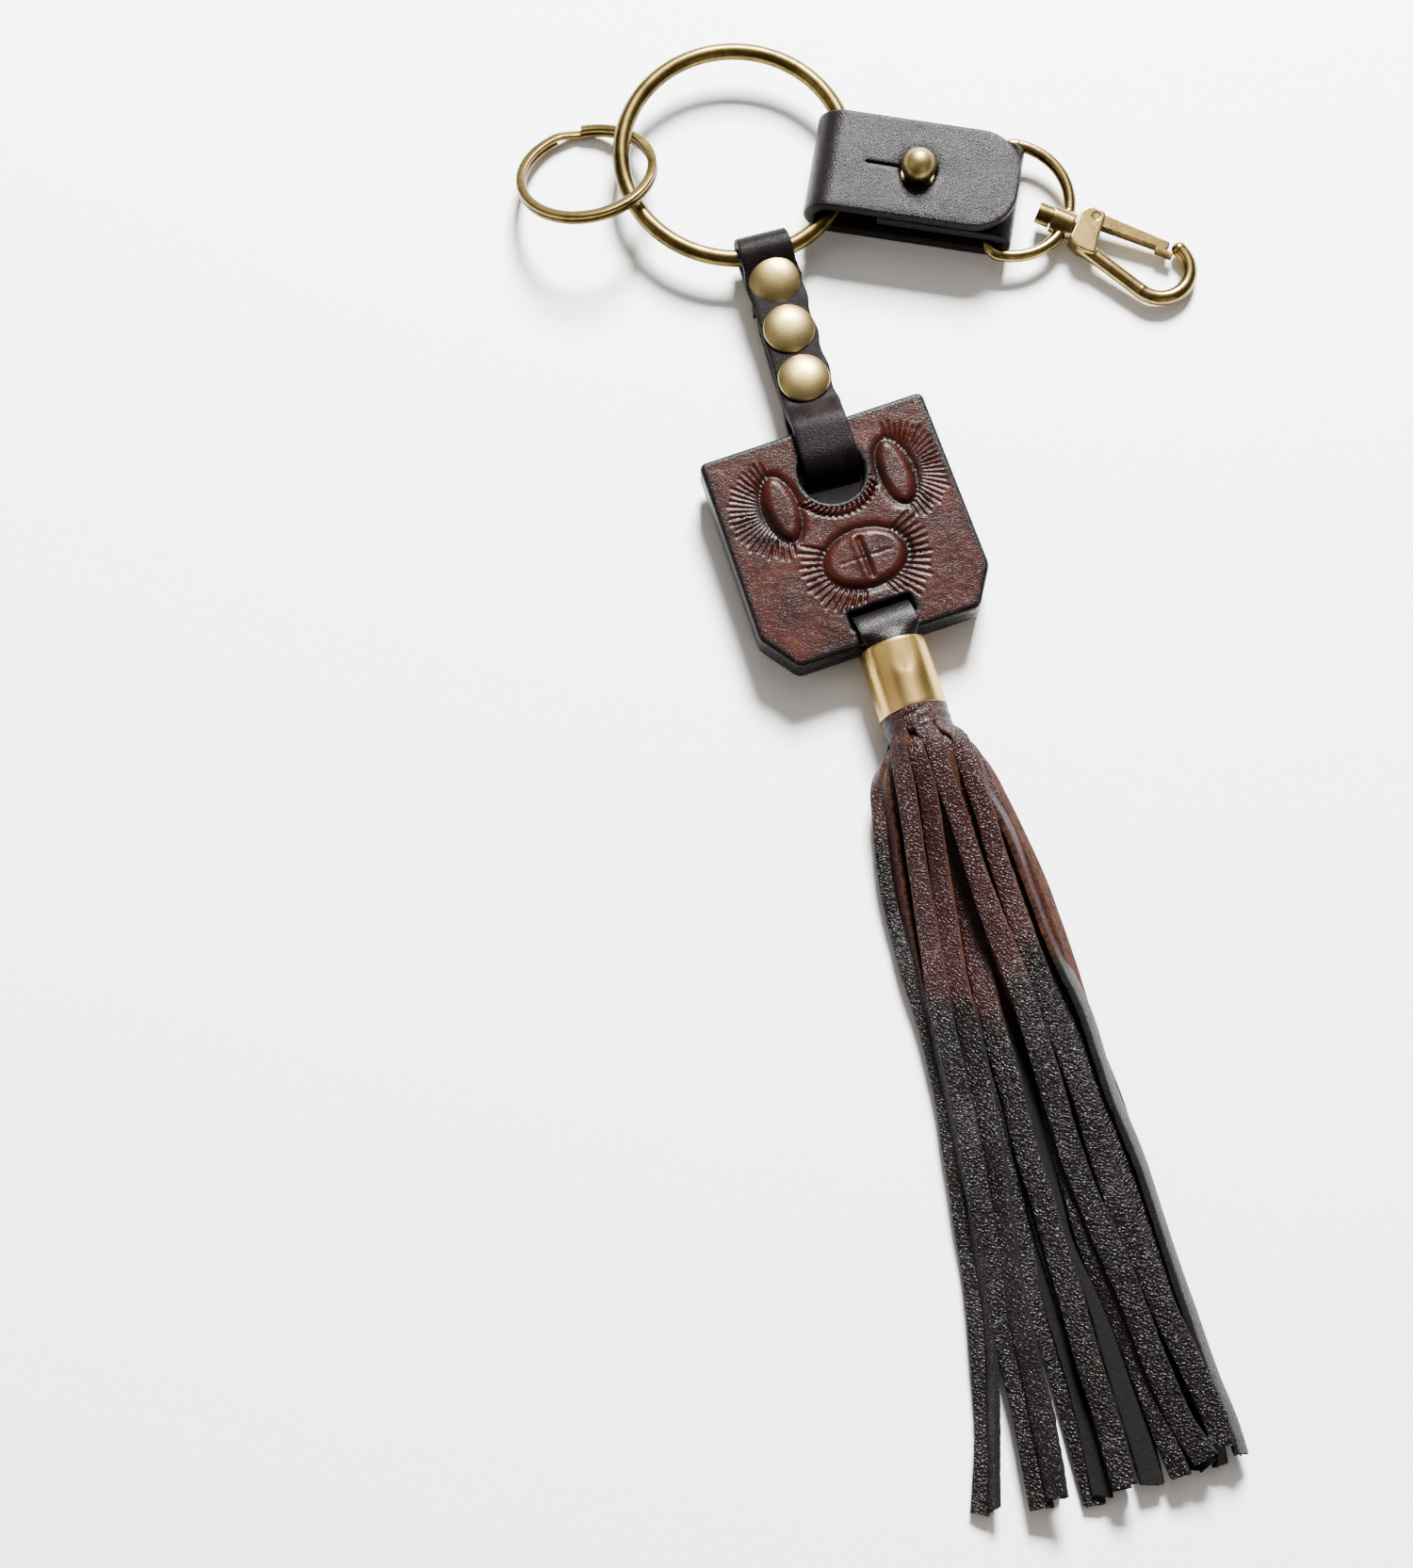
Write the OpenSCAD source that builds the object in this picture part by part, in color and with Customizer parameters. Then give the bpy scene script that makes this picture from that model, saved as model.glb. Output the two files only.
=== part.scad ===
// Leather tassel key charm, lying flat: a large round ring that carries a
// split ring, a riveted strap with a tooled leather plaque and a fringed
// tassel, and a buttoned leather tab with a swivel snap hook.
// Millimetres. Z up, the charm lies on z = 0, +Y points from the fringe
// tips to the large ring.

/* [Large ring] */
// Radius of the large ring to the middle of its wire
ring_r = 20; // [19.8:0.1:20.2]
// Wire radius of the large ring
ring_wire = 1.5; // [1.3:0.05:1.5]
// Tilt of the large ring, its far edge up (degrees)
ring_tilt = 1.5; // [0:0.5:2]

/* [Split ring] */
// Radius of the split ring to the middle of its coil
split_r = 11.7; // [11.5:0.1:11.8]
// Radial width of the split ring's coil
split_w = 1.6; // [1.4:0.1:1.6]
// Height of the two turns together
split_h = 2.0; // [1.6:0.1:2]

/* [Hanger strap] */
// Width of the hanger strap
strap_w = 9.4; // [8.8:0.1:9.4]
// Leather thickness of the hanger strap
strap_t = 1.8; // [1.6:0.1:1.8]
// Radius of a rivet cap
cap_r = 4.5; // [4:0.1:4.5]
// Dome height of a rivet cap above its rim
cap_dome = 1.3; // [1:0.1:1.4]

/* [Plaque] */
// Thickness of the plaque, both layers
plaque_t = 6; // [5.6:0.1:6]
// Radius of the strap hole
hole_r = 5.5; // [5.4:0.05:5.6]
// Width of the slot for the tassel loop
slot_w = 11; // [10.8:0.1:12]
// Bevel on the bar below the slot
bevel = 0.8; // [0.7:0.05:0.9]

/* [Tassel] */
// Outer radius of the brass ferrule
ferrule_r = 5.85; // [5.8:0.05:5.85]
// Length of the ferrule
ferrule_l = 12; // [11:0.25:12]
// Width of a fringe strip
fringe_w = 3.8; // [3.4:0.1:4]
// Leather thickness of a fringe strip
fringe_t = 1.2; // [1:0.1:1.3]

/* [Clip strap] */
// Width of the clip strap
tab_w = 18.8; // [18:0.1:18.8]
// Leather thickness of the clip strap
tab_t = 2.2; // [2:0.05:2.2]
// Radius of the stud's ball
ball_r = 3.1; // [2.8:0.1:3.1]

/* [Snap hook] */
// Wire radius of the swivel eye
eye_wire = 1.1; // [1:0.05:1.1]
// Rod radius of the hook's arm
arm_r = 1.35; // [1.2:0.05:1.4]
// Thickness of the gate
gate_t = 1.8; // [1.6:0.1:1.8]

/* [Hidden] */
$fn = 48;
eps = 0.01;

// offset from the large ring's centre to the middle of the whole charm
origin_x = -13.254;
origin_y = 109.181;
z_mid = 5.4;            // height of the straps' and the plaque's middle plane
ring_z = z_mid + 0.44;  // height of the large ring's centre

// hanger strap: distances along it from the large ring's centre
hang_a = -4.5;          // lean of the hanger strap
loop_s = 19.75;         // middle of the loop round the ring wire
loop_ri = 2.0;
gap = 0.06;             // half the gap between the strap's two legs
leg_h = strap_t + gap;  // half the height of the two legs together
rivet_s = [25.9, 35.4, 45];
rivet_post_r = 1.45;
flex_s = 50.6;          // line where the strap bends above the plaque
knuckle = 1.9;
low_s = 59.9;           // middle of the lower fold, in the plaque's hole
low_ri = 3.2;

// plaque
plaque_pts = [[-26, -54.1], [14.4, -54.1], [14.1, -87.3], [9.9, -94], [-22.3, -94], [-27, -87.2]];
plaque_rr = [1.2, 1.2, 3, 2, 2, 3];
hole_c = [-5.2, -63];
slot_x = -6;
slot_y0 = -90.8;
slot_y1 = -87.85;
bar_y = -92.4;          // middle of the bar that the tassel hangs on

// tassel, measured from the middle of that bar along the tassel
tassel_a = -3.5;
tube_z = 5.87;
tube_w0 = 2.9;
head_w = 17.5;          // flex line of the fringe
head_r = 5.8;
clear_r = 6.25;         // where the fringe starts, round the flex line

// clip strap: distances along it from the large ring's centre
clip_a = -29;
fold_u = 18.73;
fold_ri = 2.95;
tip_u = 50;
stud_u = 32.3;
bar_u = 46.4;
bar_ri = 1.7;
tab_z0 = z_mid - fold_ri - tab_t;      // underside of the bottom layer
tab_z1 = tab_z0 + tab_t;
bar_z = tab_z1 + bar_ri;
mid_z1 = bar_z + bar_ri + tab_t;       // top of the middle layer
top_z0 = z_mid + fold_ri;
top_z1 = top_z0 + tab_t;
ball_z = top_z1 + 1.2;

// swivel eye and hook
eye_u = 48.8;           // centre of the eye's round end
eye_r = 10.8;
eye_tilt = 3.8;         // the hook's end rests lower than the bar
hook_a = -14;           // the hook's yaw from the strap's axis
arc_c = [29, -1.1];
arc_r = 5.4;
pivot = [15.2, 2.9];

// ---------- helpers ----------
module place() translate([origin_x, origin_y, 0]) children();
module on_hanger() place() rotate([0, 0, hang_a]) translate([0, 0, z_mid]) children();
module on_bar() place() translate([slot_x, bar_y, z_mid]) children();
module on_tassel() on_bar() rotate([0, 0, tassel_a]) children();
module on_clip() place() rotate([0, 0, clip_a]) children();
module on_eye() on_clip() translate([bar_u, 0, bar_z]) rotate([0, eye_tilt, 0]) translate([eye_u - bar_u, 0, 0]) children();
module on_hook() on_eye() rotate([0, 0, hook_a]) children();

// a profile drawn as (distance down the strap, height), w wide across X
module down_profile(w) rotate([90, 0, -90]) translate([0, 0, -w / 2]) linear_extrude(w) children();
// a profile drawn as (distance along +X, height), w wide across Y
module along_profile(w) rotate([90, 0, 0]) translate([0, 0, -w / 2]) linear_extrude(w) children();

function unit(v) = v / norm(v);
// a convex outline with a rounded corner of radius rr[i] at each point
module round_outline(p, rr) {
  n = len(p);
  m = 6;
  polygon([for (i = [0:n - 1]) let (
      a = unit(p[(i + n - 1) % n] - p[i]), b = unit(p[(i + 1) % n] - p[i]),
      half = acos(a * b) / 2, c = p[i] + unit(a + b) * rr[i] / sin(half),
      s = p[i] + a * rr[i] / tan(half) - c, e = p[i] + b * rr[i] / tan(half) - c,
      a0 = atan2(s[1], s[0]), d0 = atan2(e[1], e[0]) - a0, da = d0 > 180 ? d0 - 360 : (d0 < -180 ? d0 + 360 : d0))
      for (k = [0:m]) c + rr[i] * [cos(a0 + da * k / m), sin(a0 + da * k / m)]]);
}
// a rod between two points in the XY plane
module rod(a, b, r) translate([a[0], a[1], 0]) rotate([0, 90, atan2(b[1] - a[1], b[0] - a[0])]) cylinder(r = r, h = norm(b - a));
// part of a ring in the XY plane, round wire, from angle a0 over da degrees
module arc(R, r, a0, da) rotate([0, 0, a0]) rotate_extrude(angle = da, $fn = 96) translate([R, 0]) circle(r = r, $fn = 32);
// domed cap, flat side at z = 0
module dome(r, rim, h) {
  R = (r * r + h * h) / (2 * h);
  a = asin(r / R);
  rotate_extrude($fn = 64) polygon(concat([[0, 0], [r, 0], [r, rim]],
    [for (k = [1:7]) let (t = a * (1 - k / 8)) [R * sin(t), rim + h - R + R * cos(t)]], [[0, rim + h]]));
}

// ---------- ring and split ring ----------
module large_ring() color("darkgoldenrod")
  place() translate([0, 0, ring_z]) rotate(a = ring_tilt, v = [0.882, 0.471, 0])
    rotate_extrude($fn = 128) translate([ring_r, 0]) circle(r = ring_wire, $fn = 40);

module split_ring() color("goldenrod")
  place() translate([-25.8, 5, 6.1]) rotate([-24.5, 0, 0]) difference() {
    rotate_extrude($fn = 96) translate([split_r, 0]) {
      c = 0.4;
      square([split_w - 2 * c, split_h], center = true);
      square([split_w, split_h - 2 * c], center = true);
      for (sx = [-1, 1], sy = [-1, 1]) translate([sx * (split_w / 2 - c), sy * (split_h / 2 - c)]) circle(r = c, $fn = 24);
    }
    // seam between the two turns, outside and inside
    rotate_extrude($fn = 96) translate([split_r + split_w / 2, 0]) square([0.7, 0.16], center = true);
    rotate_extrude($fn = 96) translate([split_r - split_w / 2, 0]) square([0.7, 0.16], center = true);
    // where the coil's ends stop
    rotate([0, 0, 88]) translate([split_r, 0, split_h / 2]) cube([2.4, 0.5, split_h], center = true);
    rotate([0, 0, 96]) translate([split_r, 0, -split_h / 2]) cube([2.4, 0.5, split_h], center = true);
  }

// ---------- hanger strap ----------
module hanger_strap() color("#1c1a1b") on_hanger() difference() {
  ro = loop_ri + strap_t;
  down_profile(strap_w) polygon(concat(
    [for (a = [90:7.5:270]) [loop_s + ro * cos(a), ro * sin(a)]],
    [[loop_s + 5.6, -leg_h], [flex_s, -leg_h], [flex_s, leg_h], [loop_s + 5.6, leg_h]]));
  down_profile(strap_w + 2) translate([loop_s, 0]) circle(r = loop_ri);
  down_profile(strap_w + 2) polygon([[loop_s + 0.2, loop_ri - 0.15], [loop_s + 4.6, gap], [flex_s + 2, gap], [flex_s + 2, -gap], [loop_s + 4.6, -gap], [loop_s + 0.2, -loop_ri + 0.15]]);
  down_profile(strap_w + 2) translate([flex_s, 0]) circle(r = knuckle + 0.3);
  for (s = rivet_s) translate([0, -s, -4]) cylinder(r = rivet_post_r + 0.05, h = 8);
  // the loop is pressed flat under the first rivet's two caps
  for (m = [0, 1]) mirror([0, 0, m]) translate([0, -rivet_s[0], leg_h]) cylinder(r = cap_r + 0.02, h = 4);
}
module rivet_caps() color("#b09a5c") on_hanger() for (s = rivet_s) translate([0, -s, leg_h]) difference() {
  dome(cap_r, 0.4, cap_dome);
  translate([0, 0, -1]) cylinder(r = rivet_post_r + 0.05, h = 1.8);
}
module rivet_posts() color("#a08a50") on_hanger() for (s = rivet_s) translate([0, -s, -leg_h]) {
  mirror([0, 0, 1]) dome(cap_r, 0.4, cap_dome);
  translate([0, 0, -0.2]) cylinder(r = rivet_post_r, h = 2 * leg_h + 0.9);
}

// ---------- plaque ----------
module hanger_loop() color("#1c1a1b") on_hanger() difference() {
  ro = low_ri + strap_t;
  down_profile(strap_w) polygon(concat(
    [for (a = [90:15:270]) [flex_s + knuckle * cos(a), knuckle * sin(a)]],
    [[52.9, -ro]],
    [for (a = [-90:7.5:90]) [low_s + ro * cos(a), ro * sin(a)]],
    [[52.9, ro]]));
  down_profile(strap_w + 2) polygon([[52, 0], [53.7, low_ri], [low_s - 0.2, low_ri], [low_s - 0.2, -low_ri], [53.7, -low_ri]]);
  down_profile(strap_w + 2) translate([low_s, 0]) circle(r = low_ri);
  down_profile(strap_w + 2) translate([low_s - 0.6, -low_ri + 0.03]) square([1, 2 * low_ri - 0.06]);
}
module plaque_plan() difference() {
  round_outline(plaque_pts, plaque_rr);
  translate(hole_c) circle(r = hole_r, $fn = 64);
  translate([slot_x - slot_w / 2, slot_y0]) square([slot_w, slot_y1 - slot_y0]);
}
// one layer of the plaque from z = 0 up, bevelled along the bar on its top face
module plaque_layer(h) difference() {
  linear_extrude(h) plaque_plan();
  translate([0, -94, h]) rotate([45, 0, 0]) cube([60, bevel * sqrt(2), bevel * sqrt(2)], center = true);
  translate([slot_x, slot_y0, h]) rotate([45, 0, 0]) cube([slot_w + 1.2, bevel * sqrt(2), bevel * sqrt(2)], center = true);
}
module plaque_front() color("#5a2a1d") place() translate([0, 0, z_mid]) plaque_layer(plaque_t / 2);
module plaque_back() color("#2a1712") place() translate([0, 0, z_mid]) mirror([0, 0, 1]) plaque_layer(plaque_t / 2);

// ---------- tassel ----------
module tassel_loop() color("#151314") on_bar() intersection() {
  down_profile(10.2) difference() {
    union() {
      circle(r = 4.45);
      translate([0, -4.45]) square([5.2, 8.9]);
    }
    circle(r = 3.25);
    translate([0, -3.25]) square([6, 6.5]);
  }
  translate([0, 0, -10]) linear_extrude(20)
    polygon([[-5.1, 6], [5.1, 6], [5.1, -1.6], [2.1, -2.5], [2.1, -6], [-2.1, -6], [-2.1, -2.5], [-5.1, -1.6]]);
}
module down_tube(w0) translate([0, -w0, tube_z - z_mid]) rotate([90, 0, 0]) children();
module ferrule() color("#d6b668") on_tassel() down_tube(tube_w0) difference() {
  cylinder(r = ferrule_r, h = ferrule_l, $fn = 96);
  translate([0, 0, -1]) cylinder(r = ferrule_r - 0.4, h = ferrule_l + 2, $fn = 96);
}
module tassel_head() color("#54231f") on_tassel() {
  down_tube(tube_w0 + 2.6) cylinder(r = ferrule_r - 0.42, h = ferrule_l - 2.5);
  down_tube(tube_w0 + ferrule_l + 0.05) cylinder(r = head_r, h = head_w - tube_w0 - ferrule_l - 0.05);
  down_tube(head_w) sphere(r = head_r, $fn = 64);
}

// ---------- fringe ----------
// Each strip: [x at the neck, x half way, x at the tip, height at the neck,
// height half way, height at the tip, length from the bar]
top_strips = [
  [-4.4, -11, -16.6, 3.4, 5.4, 4.6, 145],
  [-0.4, -3.6, -9.4, 4.6, 6.6, 4.6, 140],
  [3.6, 1.6, -3.6, 4.2, 6.4, 4.6, 145],
  [6.8, 5.6, 2, 2.4, 5.4, 4.6, 146],
  [10, 9.6, 7.6, 1.2, 5, 4.6, 145],
  [13.2, 13.4, 12.2, -0.4, 4.4, 4.6, 143]];
mid_strips = [
  [-6.6, -15.2, -27, 0.6, 3.2, 2.8, 140],
  [-3, -9.6, -21.6, 1, 3.4, 2.8, 145],
  [0.8, -5.6, -12.6, 0.5, 3.4, 2.8, 143],
  [4.6, -0.8, -6.2, -0.6, 3.4, 2.8, 142],
  [8, 5.2, 0.6, -1.68, 3.2, 2.8, 145],
  [11.4, 10.2, 7.6, -3.4, 2.4, 2.8, 147]];
low_strips = [
  [-6, -16.6, -26.6, -2.6, 1, 0.8, 141],
  [-2.4, -12, -21, -3.8, 1, 0.8, 146],
  [1.4, -7, -14.4, -4.6, 1, 0.8, 144],
  [5.2, -1.6, -8, -4.7, 1, 0.8, 143],
  [8.8, 4.2, -1.2, -4.8, 1, 0.8, 146],
  [12.4, 9.6, 6, -5, 0.8, 0.8, 144]];
seg = 14;
// pull the necks together onto the head: x is squeezed, then spread out
function neck_x(x) = x * 0.42 - 1;
function quad(a, m, b, t) = a * (1 - t) * (1 - 2 * t) + m * 4 * t * (1 - t) + b * t * (2 * t - 1);
function neck_w(z) = head_w + sqrt(max(0, clear_r * clear_r - z * z));
module strip(d) {
  w0 = neck_w(d[3]);
  z0 = tube_z + d[3];
  path = [for (i = [0:seg]) let (
      t = i / seg,
      w = w0 + (d[6] - w0) * t,
      x = quad(neck_x(d[0]), d[1] * 0.92, d[2], t),
      e = min(1, t / 0.62),
      s = e * e * (3 - 2 * e),
      z = (t < 0.5 ? z0 + (d[4] - z0) * s : z0 + (d[4] - z0) * s + (d[5] - d[4]) * (t - 0.5) / 0.5))
      [x, -w, z]];
  half = [for (i = [0:seg]) (fringe_w * min(1, 0.7 + 1.2 * i / seg)) / 2];
  pts = [for (i = [0:seg]) let (
      a = path[max(0, i - 1)], b = path[min(seg, i + 1)],
      n = unit([-(b[1] - a[1]), b[0] - a[0]]), p = path[i], h = fringe_t / 2)
      each [[p[0] + n[0] * half[i], p[1] + n[1] * half[i], p[2] - h],
            [p[0] - n[0] * half[i], p[1] - n[1] * half[i], p[2] - h],
            [p[0] - n[0] * half[i], p[1] - n[1] * half[i], p[2] + h],
            [p[0] + n[0] * half[i], p[1] + n[1] * half[i], p[2] + h]]];
  faces = concat([[3, 2, 1, 0]],
    [for (i = [0:seg - 1], k = [0:3]) let (a = i * 4 + k, b = i * 4 + (k + 1) % 4) [a, b, b + 4, a + 4]],
    [[seg * 4, seg * 4 + 1, seg * 4 + 2, seg * 4 + 3]]);
  translate([0, 0, -z_mid]) polyhedron(pts, faces, convexity = 4);
}
module fringe_top() color("#4a2422") on_tassel() for (d = top_strips) strip(d);
module fringe_middle() color("#2c1c1b") on_tassel() for (d = mid_strips) strip(d);
module fringe_bottom() color("#1d1615") on_tassel() for (d = low_strips) strip(d);

// ---------- clip strap ----------
module clip_strap() color("#2a2627") on_clip() difference() {
  intersection() {
    along_profile(tab_w) {
      // fold round the large ring, then the top and bottom layers
      difference() {
        union() {
          translate([fold_u, z_mid]) circle(r = fold_ri + tab_t, $fn = 64);
          translate([fold_u, top_z0]) square([tip_u - fold_u, tab_t]);
          translate([fold_u, tab_z0]) square([bar_u - fold_u, tab_t]);
        }
        translate([fold_u, z_mid]) circle(r = fold_ri, $fn = 64);
        translate([fold_u, z_mid - fold_ri]) square([tip_u, 2 * fold_ri]);
      }
      // fold round the eye's bar, then the middle layer
      difference() {
        union() {
          translate([bar_u, bar_z]) circle(r = bar_ri + tab_t, $fn = 64);
          translate([26.6, mid_z1 - tab_t]) square([bar_u - 26.6, tab_t]);
        }
        translate([bar_u, bar_z]) circle(r = bar_ri, $fn = 64);
        translate([bar_u - 6, bar_z - bar_ri]) square([6, 2 * bar_ri]);
      }
    }
    union() {
      // rounded end of the top layer
      translate([0, 0, top_z0 - 0.05]) linear_extrude(6) {
        translate([0, -tab_w / 2]) square([tip_u - 7.6, tab_w]);
        translate([tip_u - 7.6, -1.8]) square([7.6, 3.6]);
        for (s = [-1, 1]) translate([tip_u - 7.6, s * 1.8]) circle(r = 7.6, $fn = 64);
      }
      translate([0, -tab_w, -1]) cube([80, 2 * tab_w, top_z0 - 0.05 + 1]);
    }
  }
  // buttonhole: the hole and the slit
  translate([stud_u, 0, top_z0 - 0.06]) cylinder(r = 3.35, h = 4);
  translate([stud_u - 9, -0.15, top_z0 - 0.06]) cube([9, 0.3, 4]);
  // stud through the middle and bottom layers
  translate([stud_u, 0, -1]) cylinder(r = 1.65, h = top_z0 + 1);
  translate([stud_u, 0, tab_z0 - 1]) cylinder(r = 3.65, h = 2);
}
module stud_ball() color("#b3975a") on_clip() translate([stud_u, 0, 0]) difference() {
  union() {
    translate([0, 0, mid_z1]) cylinder(r = 3, h = 0.7);
    translate([0, 0, mid_z1 + 0.7 - eps]) cylinder(r = 1.7, h = ball_z - mid_z1 - 2);
    translate([0, 0, ball_z]) sphere(r = ball_r, $fn = 64);
  }
  translate([0, 0, mid_z1 - 1]) cylinder(r = 1.1, h = 4.4);
}
module stud_screw() color("#8f7a45") on_clip() translate([stud_u, 0, 0]) difference() {
  union() {
    translate([0, 0, tab_z0]) cylinder(r = 3.6, h = 0.98);
    translate([0, 0, tab_z0 + 0.9]) cylinder(r = 1.6, h = mid_z1 - tab_z0 - 0.9);
    translate([0, 0, mid_z1 - eps]) cylinder(r = 1.05, h = 3);
  }
  translate([-4, -0.4, tab_z0 - 0.5]) cube([8, 0.8, 1]);
}

// ---------- snap hook ----------
module swivel_eye() color("#c2a563") on_eye() difference() {
  c = eye_u - bar_u;
  union() {
    arc(eye_r, eye_wire, -91, 182);
    translate([0, eye_r - c, 0]) arc(c, eye_wire + 0.04, 89, 92);
    translate([0, -(eye_r - c), 0]) arc(c, eye_wire + 0.04, 179, 92);
    rod([-c, -(eye_r - c) - 0.06], [-c, eye_r - c + 0.06], eye_wire);
    rotate([0, 0, hook_a]) translate([8.3, 0, 0]) rotate([0, 90, 0]) cylinder(r = 2.4, h = 3.9);
  }
  rotate([0, 0, hook_a]) translate([5, 0, 0]) rotate([0, 90, 0]) cylinder(r = 1.1, h = 10);
}
module swivel_post() color("#a98d50") on_hook() {
  translate([5.5, 0, 0]) rotate([0, 90, 0]) cylinder(r = 1.9, h = 2.6);
  translate([8, 0, 0]) rotate([0, 90, 0]) cylinder(r = 1.05, h = 5.4);
}
module hook_body() color("#b3975a") on_hook() {
  a0 = -105;
  a1 = 70;
  p0 = arc_c + arc_r * [cos(a0), sin(a0)];
  p1 = arc_c + arc_r * [cos(a1), sin(a1)];
  difference() {
    union() {
      translate([0, 0, -1.7]) linear_extrude(3.4)
        round_outline([[12.4, -2.9], [14.4, -4], [17.6, -4], [17, -0.6], [16.6, 4.3], [13.4, 4.3], [12.4, 2.6]], [0.8, 1, 0.5, 1, 0.7, 1, 0.8]);
      rod([14.6, -2.7], p0, arm_r);
    }
    translate([11.4, 0, 0]) rotate([0, 90, 0]) cylinder(r = 1.05, h = 2.02);
    // slot for the gate and the hole for its pin
    translate([13.62, 0.9, -gate_t / 2 - 0.1]) cube([6, 6, gate_t + 0.2]);
    translate([pivot[0], pivot[1], -3]) cylinder(r = 0.6, h = 6);
  }
  translate([p0[0], p0[1], 0]) sphere(r = arm_r + 0.05, $fn = 32);
  translate([arc_c[0], arc_c[1], 0]) arc(arc_r, arm_r, a0, a1 - a0);
  translate([p1[0], p1[1], 0]) sphere(r = arm_r + 0.05, $fn = 32);
}
module gate_pin() color("#8f7a45") on_hook() translate([pivot[0], pivot[1], -1.7]) cylinder(r = 0.6, h = 3.4);
module gate_spring() color("#9a9a96") on_hook() translate([13.66, 1.2, -0.7]) cube([0.1, 3, 1.4]);
module gate() color("#cbb274") on_hook() translate([0, 0, -gate_t / 2]) difference() {
  union() {
    translate(pivot) cylinder(r = 1.35, h = gate_t);
    linear_extrude(gate_t) {
      polygon([[15.2, 1.6], [28.4, 2.4], [29.1, 3.1], [28.9, 4.2], [15.2, 4.2]]);
      polygon([[27, 1.7], [30.2, 1.7], [30.2, 2.3], [29.1, 2.6], [27, 2.6]]);
    }
  }
  translate([pivot[0], pivot[1], -1]) cylinder(r = 0.65, h = gate_t + 2);
}

large_ring();
split_ring();
hanger_strap();
rivet_caps();
rivet_posts();
hanger_loop();
plaque_front();
plaque_back();
tassel_loop();
ferrule();
tassel_head();
fringe_top();
fringe_middle();
fringe_bottom();
clip_strap();
stud_ball();
stud_screw();
swivel_eye();
hook_body();
swivel_post();
gate_pin();
gate_spring();
gate();
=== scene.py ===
# Looks of the leather tassel key charm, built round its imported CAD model.
import bpy, math
import numpy as np
from mathutils import Vector, Matrix, noise
from mathutils.geometry import delaunay_2d_cdt


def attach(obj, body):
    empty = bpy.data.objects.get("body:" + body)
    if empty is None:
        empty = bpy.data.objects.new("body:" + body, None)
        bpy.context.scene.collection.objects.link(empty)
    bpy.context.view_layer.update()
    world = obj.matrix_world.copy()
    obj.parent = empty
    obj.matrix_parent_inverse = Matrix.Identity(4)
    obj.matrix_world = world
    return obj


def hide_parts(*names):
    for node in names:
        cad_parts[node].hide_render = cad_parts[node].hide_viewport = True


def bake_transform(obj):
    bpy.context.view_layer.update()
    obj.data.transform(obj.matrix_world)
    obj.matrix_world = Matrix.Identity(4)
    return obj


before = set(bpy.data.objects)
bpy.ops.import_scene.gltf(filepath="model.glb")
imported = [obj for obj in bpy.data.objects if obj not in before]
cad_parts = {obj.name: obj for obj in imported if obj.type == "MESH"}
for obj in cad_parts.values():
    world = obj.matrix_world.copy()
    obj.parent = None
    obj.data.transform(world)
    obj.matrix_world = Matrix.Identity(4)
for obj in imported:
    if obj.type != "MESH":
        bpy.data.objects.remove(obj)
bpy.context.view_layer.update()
scene = bpy.context.scene
rng = np.random.default_rng(7)

# ------------------------------------------------------------------ frames
# Lengths below are millimetres from the large ring's centre, as in the CAD
# source; SHIFT moves them to the row frame.
SHIFT = np.array([-13.254, 109.181, 0.0])
Z_MID = 5.4


def rot2(a):
    a = math.radians(a)
    return np.array([[math.cos(a), -math.sin(a)], [math.sin(a), math.cos(a)]])


def hanger(x, s, z):
    """x across, s down the strap, z above the middle plane"""
    p = np.stack([x, -s], -1) @ rot2(-4.5).T
    return np.concatenate([p, (z + Z_MID)[..., None]], -1)


def clip(u, v, z):
    p = np.stack([u, v], -1) @ rot2(-29).T
    return np.concatenate([p, z[..., None]], -1)


def tassel(x, w, z):
    p = np.stack([x, -w], -1) @ rot2(-3.5).T + np.array([-6, -92.4])
    return np.concatenate([p, z[..., None]], -1)


def on_bar(x, w, z):
    return np.stack([x - 6, -92.4 - w, z + Z_MID], -1)


# ------------------------------------------------------------------ camera
cam_data = bpy.data.cameras.new("camera")
cam = bpy.data.objects.new("camera", cam_data)
scene.collection.objects.link(cam)
scene.camera = cam
cam_data.sensor_width = 36.0
cam_data.lens = 3260 * 36 / 1665
cam_data.clip_start = 0.01
cam_data.clip_end = 20
cam_pos = np.array([-104.7275, -132.8732, 492.4982]) / 1000
fwd = np.array([0.0947119, 0.2659819, -0.959314])
fwd /= np.linalg.norm(fwd)
right = np.array([math.cos(math.radians(19.6)), -math.sin(math.radians(19.6)), 0])
up = np.cross(right, fwd)
m = Matrix.Identity(4)
for i in range(3):
    m[i][0], m[i][1], m[i][2], m[i][3] = right[i], up[i], -fwd[i], cam_pos[i]
cam.matrix_world = m


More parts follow.
